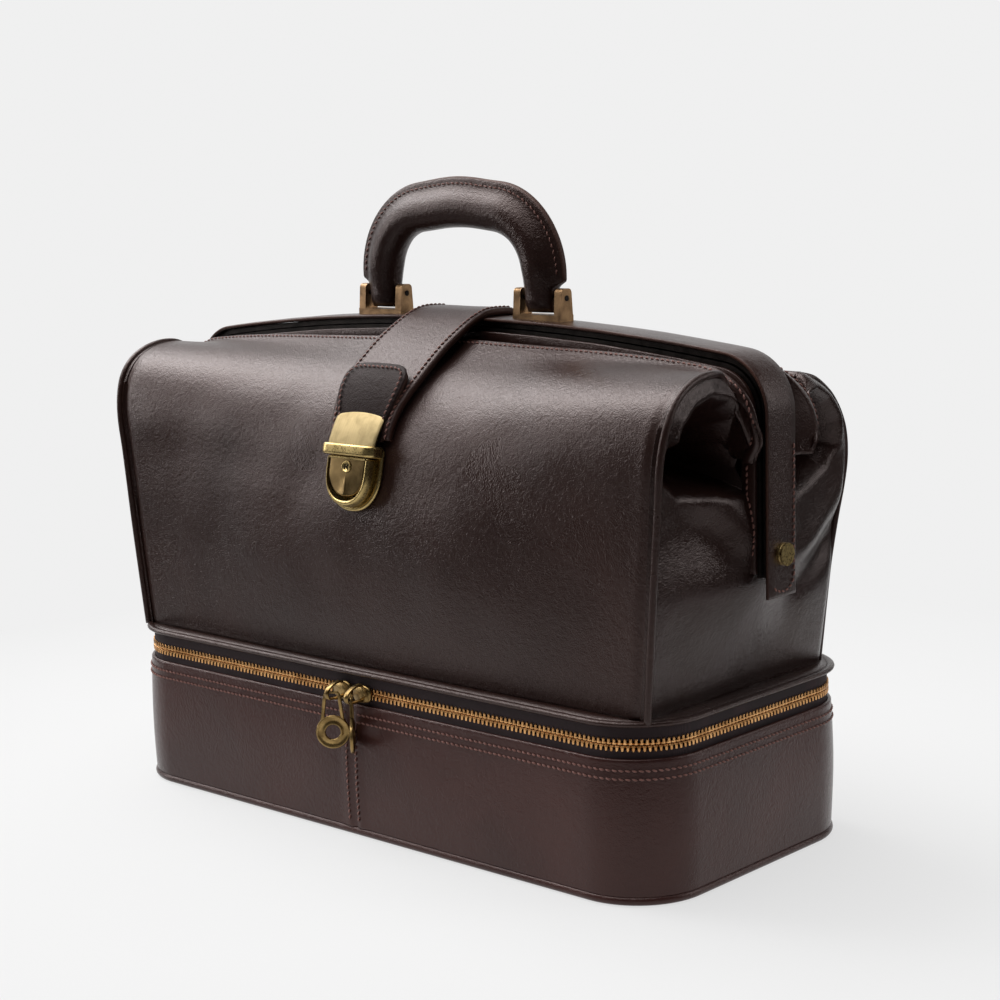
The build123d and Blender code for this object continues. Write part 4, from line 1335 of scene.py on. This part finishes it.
def make_strap():
    def half(t):
        return 22.0 + 5.0 * smooth(0.0, 0.30, t)

    outer = strap_grid(STRAP_FACE, half, 150, 31)[0]
    strap = raw_edged("strap_leather", outer, 3.4, STRAP_LEATHER, None)
    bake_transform(strap)
    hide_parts("closing_strap", "strap_anchor")
    runs = [edge_run(outer, share) for share in (0.07, 0.93)]
    sewn = stitches("strap_stitches", runs, None, seed=31)
    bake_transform(sewn)

    def tab_half(t):
        length, radius = TAB_LENGTH, 9.5
        wide = 17.2 + 5.3 * smooth(0.0, 0.7, t)
        over = t * length - (length - radius)
        return wide - radius + math.sqrt(max(radius**2 - over**2, 1.5)) if over > 0 else wide

    rows = 70
    outer, line, along = strap_grid(TAB_FACE, tab_half, rows, 25, sag=0.5)
    tab = raw_edged("tab_leather", outer, 3.2, TAB_LEATHER, "strap")
    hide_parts("strap_tab")

    def inset_half(t):
        length, radius, gap = TAB_LENGTH, 7.0, 2.8
        wide = 17.2 + 5.3 * smooth(0.0, 0.7, t) - gap
        over = t * length - (length - gap - radius)
        return wide - radius + math.sqrt(max(radius**2 - over**2, 0.0)) if over > 0 else wide

    def on_tab(x, t):
        k = t * (rows - 1)
        i = int(min(k, rows - 2))
        place = mix(line[i], line[i + 1], k - i)
        ty, tz = along[i]
        rise = 0.35 - 0.5 * (x / 22.0) ** 2
        return ((x, place[0] - tz * rise, place[1] + ty * rise), (0, -tz, ty))

    stop = (TAB_LENGTH - 2.8) / TAB_LENGTH
    border = [on_tab(-inset_half(t), t) for t in np.linspace(0.24, stop, 60)]
    across = inset_half(stop)
    border += [on_tab(x, stop) for x in np.linspace(-across, across, 20)[1:-1]]
    border += [on_tab(inset_half(t), t) for t in np.linspace(stop, 0.24, 60)]
    stitches("tab_stitches", [border], "strap", seed=33)


make_strap()


# ---- lock --------------------------------------------------------------------------------------------
LOCK_ORIGIN = Vector((0, -85.1, 199.0))
LOCK_LEAN = math.radians(12)
LOCK_UP = Vector((0, math.sin(LOCK_LEAN), math.cos(LOCK_LEAN)))
LOCK_OUT = Vector((0, -math.cos(LOCK_LEAN), math.sin(LOCK_LEAN)))


def on_lock(x, v, w):
    return LOCK_ORIGIN + Vector((x, 0, 0)) + LOCK_UP * v + LOCK_OUT * w


def shield(width, top, shoulder, tip, corner=1.2, count=120):
    """Points round a flat-topped outline that narrows to a rounded tip."""
    half = width / 2
    points = []
    for k in range(7):
        t = math.radians(90 * k / 6)
        points.append((half - corner + corner * math.cos(t), top - corner + corner * math.sin(t)))
    points += [(-x, v) for x, v in reversed(points)]
    for t in np.linspace(0, math.pi, 46)[1:-1]:
        x = -math.cos(t)
        depth = math.sin(t)
        points.append((half * math.copysign(abs(x) ** 0.9, x), shoulder + (tip - shoulder) * depth**0.86))
    points.append(points[0])
    return resample(points, count + 1)[:-1]


def scaled(outline, grow):
    """The outline drawn in, or out, by a distance."""
    p = np.array(outline)
    along = np.roll(p, -1, axis=0) - np.roll(p, 1, axis=0)
    along /= np.linalg.norm(along, axis=1, keepdims=True)
    return p + np.stack([along[:, 1], -along[:, 0]], axis=1) * grow


def lock_layers(name, layers, material, body, centre=None):
    """A metal piece from rings (outline, w): the first is its back and the last its front."""
    vertices = []
    for outline, w in layers:
        for x, v in outline:
            vertices.append(on_lock(x, v, w(x, v) if callable(w) else w))
    around = len(layers[0][0])
    faces = grid_faces(len(layers), around, wrap_columns=True)
    faces.append(tuple(range(around - 1, -1, -1)))
    if centre:
        vertices.append(on_lock(*centre))
        last = (len(layers) - 1) * around
        faces += [(last + j, last + (j + 1) % around, len(vertices) - 1) for j in range(around)]
    else:
        faces.append(tuple((len(layers) - 1) * around + j for j in range(around)))
    return make(name, vertices, faces, material, body)


def make_lock():
    base = shield(38.0, 10.0, -3.0, -24.5, 4.0)
    flange = lock_layers("lock_flange", [
        (scaled(base, -0.3), -3.85), (base, -3.5), (base, -2.7), (scaled(base, -0.5), -2.15),
        (scaled(base, -1.4), -1.95), (scaled(base, -2.6), -2.25), (scaled(base, -3.2), -2.3),
    ], LOCK_BRASS, "upper")
    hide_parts("lock_base")

    rim = shield(30.6, 3.4, -3.8, -22.3)
    # The opening is long enough for the plate to slide down in it.
    hole = shield(27.2, 3.4, -4.9, -19.7, 0.6)
    case = lock_layers("lock_rim", [
        (scaled(rim, 0.6), -2.2), (scaled(rim, 0.2), 0.5), (scaled(rim, -0.3), 3.6),
        (scaled(rim, -0.9), 4.35), (scaled(rim, -1.5), 4.5),
        (scaled(hole, 0.1), 4.3), (hole, 3.9), (hole, -1.2),
    ], LOCK_BRASS, "upper")
    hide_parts("lock_case")

    plate = shield(26.3, 2.9, -3.0, -17.3, 0.6)

    def ridge(x, v):
        low = smooth(-4.5, -16.0, v)
        return 3.9 + 0.35 * (1 - (x / 13.0) ** 2) + 1.1 * low * math.exp(-abs(x) / 2.6) - 0.9 * low

    layers = [(scaled(plate, -0.05), 1.0), (plate, 3.0)]
    for inset in (0.35, 1.2, 2.4, 3.8, 5.4, 7.2, 9.2, 11.0):
        ring = [(x * (1 - inset / 13.2), (v + 6.5) * (1 - inset / 13.2) - 6.5) for x, v in plate]
        layers.append((ring, ridge))
    centre = (0, -6.5, ridge(0, -6.5))
    thumb = lock_layers("lock_thumb", layers, THUMB_BRONZE, "lock_slide", centre)
    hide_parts("lock_thumb_plate")

    turn = np.linspace(0, 2 * math.pi, 40, endpoint=False)

    def disc(radius):
        return [(radius * math.cos(t), -2.0 + radius * math.sin(t)) for t in turn]

    barrel = lock_layers("key_barrel_face", [
        (disc(3.2), 0.8), (disc(3.2), 4.5), (disc(2.9), 4.85), (disc(2.5), 4.8), (disc(2.35), 4.55),
    ], LOCK_BRASS, "key_barrel", (0, -2.0, 4.5))
    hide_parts("key_cylinder")
    # The keyhole: two short slots joined by a slanting one.
    parts = []
    slots = (((-0.95, -3.3), (-0.95, -0.9)), ((0.95, -3.1), (0.95, -0.7)), ((-0.95, -0.9), (0.95, -3.1)))
    for (x0, v0), (x1, v1) in slots:
        path = [on_lock(mix(x0, x1, t), mix(v0, v1, t), 4.62) for t in np.linspace(0, 1, 5)]
        parts.append(sweep(path, rounded_box(0.62, 0.24, 0.1, 1), up=tuple(LOCK_OUT)))
    vertices, faces = joined(parts)
    make("keyhole", vertices, faces, KEYHOLE, "key_barrel")

    corners = [on_lock(x, 6.6, w) for x, w in ((-17.3, -2.2), (-17.3, 5.7), (17.3, 5.7), (17.3, -2.2))]
    path = filleted(corners, [3.4, 3.4], 0.8)
    vertices, faces = sweep(path, rounded_box(6.0, 3.2, 1.5, 5), up=loop_up(path))
    loop = make("lock_staple", vertices, faces, LOCK_BRASS, "upper")
    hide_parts("lock_loop")

    # Hood: a brushed plate folded over the end of the tab, with an arched top edge.
    face = [(-87.0, 207.0), (-85.6, 210.5), (-83.4, 215.0), (-80.6, 219.6), (-78.0, 223.4)]
    rows, columns = 34, 33
    line = spline(face, rows)
    along = np.gradient(line, axis=0)
    along /= np.linalg.norm(along, axis=1, keepdims=True)
    grid = []
    for i in range(rows):
        t = i / (rows - 1)
        row = []
        for j in range(columns):
            u = -1 + 2 * j / (columns - 1)
            half = 17.0 + 0.6 * t
            half -= 2.6 * (1 - math.sqrt(max(1 - ((t - 0.84) / 0.16) ** 2, 0))) if t > 0.84 else 0
            arch = 1.5 * (1 - u * u) * t
            y, z = line[i] + along[i] * arch
            ty, tz = along[i]
            rise = 0.35 * (1 - u * u) - 0.5 * smooth(0.93, 1.0, abs(u))
            row.append((half * u, y - tz * rise, z + ty * rise))
        grid.append(row)
    outer = np.array(grid)
    vertices, faces = solid_sheet(outer, thickened(outer, -1.8))
    hood = make("lock_hood", vertices, flipped(faces), HOOD_BRASS, "strap")
    add_bevel(hood, 0.0004, 40)
    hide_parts("lock_tongue")


def loop_up(path):
    """For the staple: its flat side faces away from the lock's plate all the way round."""
    points = np.array(path)

    def guide(i):
        tangent = points[min(i + 1, len(points) - 1)] - points[max(i - 1, 0)]
        return np.cross(tangent, np.array(LOCK_UP))

    return guide


KEYHOLE = metal("keyhole_shadow", (0.01, 0.008, 0.004), (0.03, 0.02, 0.01), 0.5)
HOOD_BRASS = metal(
    "hood_brass", (0.25, 0.19, 0.092), (0.35, 0.268, 0.136), 0.48, brush=(1, 0.03, 0.03), bump=0.12
)
make_lock()


# ---- rivets on the frame -------------------------------------------------------------------------------
def make_rivets():
    for side in (-1, 1):
        rings = [(4.9, -0.1), (5.6, 0.3), (5.65, 1.6), (5.45, 2.2)]
        rings += [(4.9, 2.65), (4.2, 2.75), (2.6, 2.62), (1.0, 2.55)]
        vertices, count = [], 40
        for radius, out in rings:
            for j in range(count):
                t = 2 * math.pi * j / count
                y, z = radius * math.cos(t), PIVOT.z + radius * math.sin(t)
                vertices.append((side * (FRAME_HALF + 0.4 + out), y, z))
        faces = grid_faces(len(rings), count, wrap_columns=True)
        faces.append(tuple((len(rings) - 1) * count + j for j in range(count)))
        faces.append(tuple(range(count - 1, -1, -1)))
        if side < 0:
            faces = flipped(faces)
        make(f"{SIDE_WORD[side]}_rivet_cap", vertices, faces, RIVET_BRASS, "upper")


RIVET_BRASS = metal("rivet_brass", (0.5, 0.34, 0.12), (0.8, 0.6, 0.28), 0.36, bump=0.4)
make_rivets()


# ---- finish of the CAD metal that still shows ----------------------------------------------
# The frame_steel slot gets the near-black steel: painted shade for the gaps in which the frame shows.
SLOT_MATERIALS = {
    "bag_leather": BAG_LEATHER, "tray_leather": TRAY_LEATHER, "lining": LINING, "board": BOARD, "rope": ROPE,
    "zip_tape": TAPE, "zip_metal": ZIP_METAL, "lock_metal": LOCK_BRASS, "thumb_metal": THUMB_BRONZE,
    "slider_metal": SLIDER_BRASS, "bracket_metal": BRACKET_BRONZE, "frame_steel": STEEL_PAINTED_SHADE,
}


def finish_cad():
    slots = {entry["node"]: entry["material_slot"] for entry in frame["record"]["subparts"]}
    for name, node in frame["nodes"].items():
        node.data.materials.clear()
        node.data.materials.append(SLOT_MATERIALS[slots[name]])
        if not node.hide_render:
            add_bevel(node, 0.0005 if "bracket" in name else 0.00035, 35)


finish_cad()


# ---- camera, light and floor ----------------------------------------------------------
CAMERA_PLACE = Vector((0.7703, -0.8148, 0.3483))


def make_stage():
    yaw, pitch, roll = math.radians(42.468), math.radians(9.14), math.radians(-1.399)
    forward = Vector((-math.sin(yaw) * math.cos(pitch), math.cos(yaw) * math.cos(pitch), -math.sin(pitch)))
    right = Vector((math.cos(yaw), math.sin(yaw), 0))
    up = right.cross(forward)
    across = right * math.cos(roll) + up * math.sin(roll)
    upward = up * math.cos(roll) - right * math.sin(roll)
    bpy.context.scene.view_settings.view_transform = "Standard"
    data = bpy.data.cameras.new("Camera")
    data.lens = 74.57
    data.sensor_width = 36
    camera = bpy.data.objects.new("Camera", data)
    bpy.context.scene.collection.objects.link(camera)
    turn = Matrix((across, upward, -forward)).transposed().to_4x4()
    camera.matrix_world = Matrix.Translation(CAMERA_PLACE) @ turn
    bpy.context.scene.camera = camera

    world = bpy.data.worlds.new("Studio")
    world.use_nodes = True
    sky = world.node_tree
    background = sky.nodes["Background"]
    where = sky.nodes.new("ShaderNodeTexCoord")
    toward = sky.nodes.new("ShaderNodeVectorMath")
    toward.operation = "DOT_PRODUCT"
    toward.inputs[1].default_value = (-0.66, 0.75, 0.05)
    sky.links.new(where.outputs["Generated"], toward.inputs[0])
    # A white sweep stands behind the bag; the rest of the room is dim.
    glow = add_ramp(sky, toward.outputs["Value"], [(0.2, 0.06), (0.62, 0.16), (0.86, 0.87)])
    sky.links.new(glow, background.inputs["Color"])
    background.inputs["Strength"].default_value = 1.0
    bpy.context.scene.world = world

    material, tree, surface, where = shader(
        "pale_floor", (0.6, 0.6, 0.6), 0.8, Emission_Strength=1.0, Specular_IOR_Level=0.0
    )
    # Near the bag the floor takes its shadow; farther off it is one even white with the sweep.
    length = tree.nodes.new("ShaderNodeVectorMath")
    length.operation = "LENGTH"
    tree.links.new(where, length.inputs[0])
    fine = add_noise(tree, where, 4, 2)
    sum_up = tree.nodes.new("ShaderNodeMath")
    sum_up.operation = "MULTIPLY_ADD"
    sum_up.inputs[1].default_value = 0.05
    tree.links.new(fine, sum_up.inputs[0])
    tree.links.new(length.outputs["Value"], sum_up.inputs[2])
    for socket, near, far in (("Base Color", 0.16, 0.0), ("Emission Color", 0.64, 0.87)):
        grey = add_ramp(tree, sum_up.outputs[0], [(0.30, near), (0.62, far)])
        tree.links.new(grey, surface.inputs[socket])
    # The table widens away from the camera and is no wider than the view needs.
    away = Vector((-math.sin(yaw), math.cos(yaw), 0))
    foot = Vector((CAMERA_PLACE.x, CAMERA_PLACE.y, 0))
    rows = [(0.55, 0.36), (1.0, 0.46), (1.6, 0.62), (3.0, 1.1), (8.0, 2.9), (30.0, 10.0), (90.0, 32.0)]
    vertices = []
    for reach, half in rows:
        for width in (-half, half):
            place = foot + away * reach + right * width
            vertices.append((place.x, place.y, 0))
    mesh = bpy.data.meshes.new("floor")
    mesh.from_pydata(vertices, [], grid_faces(len(rows), 2))
    mesh.materials.append(material)
    floor = bpy.data.objects.new("floor", mesh)
    bpy.context.scene.collection.objects.link(floor)

    # Beyond the view a dim floor keeps the leather's reflections dark.
    material, tree, surface, where = shader("dim_floor", (0.05, 0.05, 0.05), 0.9, Specular_IOR_Level=0.0)
    fine = add_noise(tree, where, 4, 2)
    tree.links.new(add_ramp(tree, fine, [(0.3, 0.045), (0.7, 0.055)]), surface.inputs["Base Color"])
    mesh = bpy.data.meshes.new("outer_floor")
    sides = 48
    turn = np.linspace(0, 2 * math.pi, sides, endpoint=False)
    ring = [(3 * math.cos(t), 3 * math.sin(t), -0.002) for t in turn]
    mesh.from_pydata(ring, [], [tuple(range(sides))])
    mesh.materials.append(material)
    outer_floor = bpy.data.objects.new("outer_floor", mesh)
    bpy.context.scene.collection.objects.link(outer_floor)

    def lamp(name, kind, place, aim, power):
        light = bpy.data.lights.new(name, kind)
        light.energy = power
        holder = bpy.data.objects.new(name, light)
        bpy.context.scene.collection.objects.link(holder)
        holder.location = place
        holder.rotation_euler = (Vector(aim) - Vector(place)).to_track_quat("-Z", "Y").to_euler()
        return light

    def area(name, place, aim, width, height, power):
        light = lamp(name, "AREA", place, aim, power)
        light.shape = "RECTANGLE"
        light.size, light.size_y = width, height

    ceiling = lamp("ceiling_light", "SUN", (-0.5, -0.3, 2.0), (0, 0, 0), 3.0)
    ceiling.angle = math.radians(70)
    area("key_light", (-1.35, -0.1, 1.75), (0, 0, 0.2), 1.3, 1.8, 40)
    area("front_light", (-2.0, -1.05, 0.7), (-0.1, 0, 0.15), 0.7, 1.2, 14)
    area("side_light", (1.6, 1.2, 0.9), (0.1, 0, 0.15), 1.0, 1.4, 11)


make_stage()
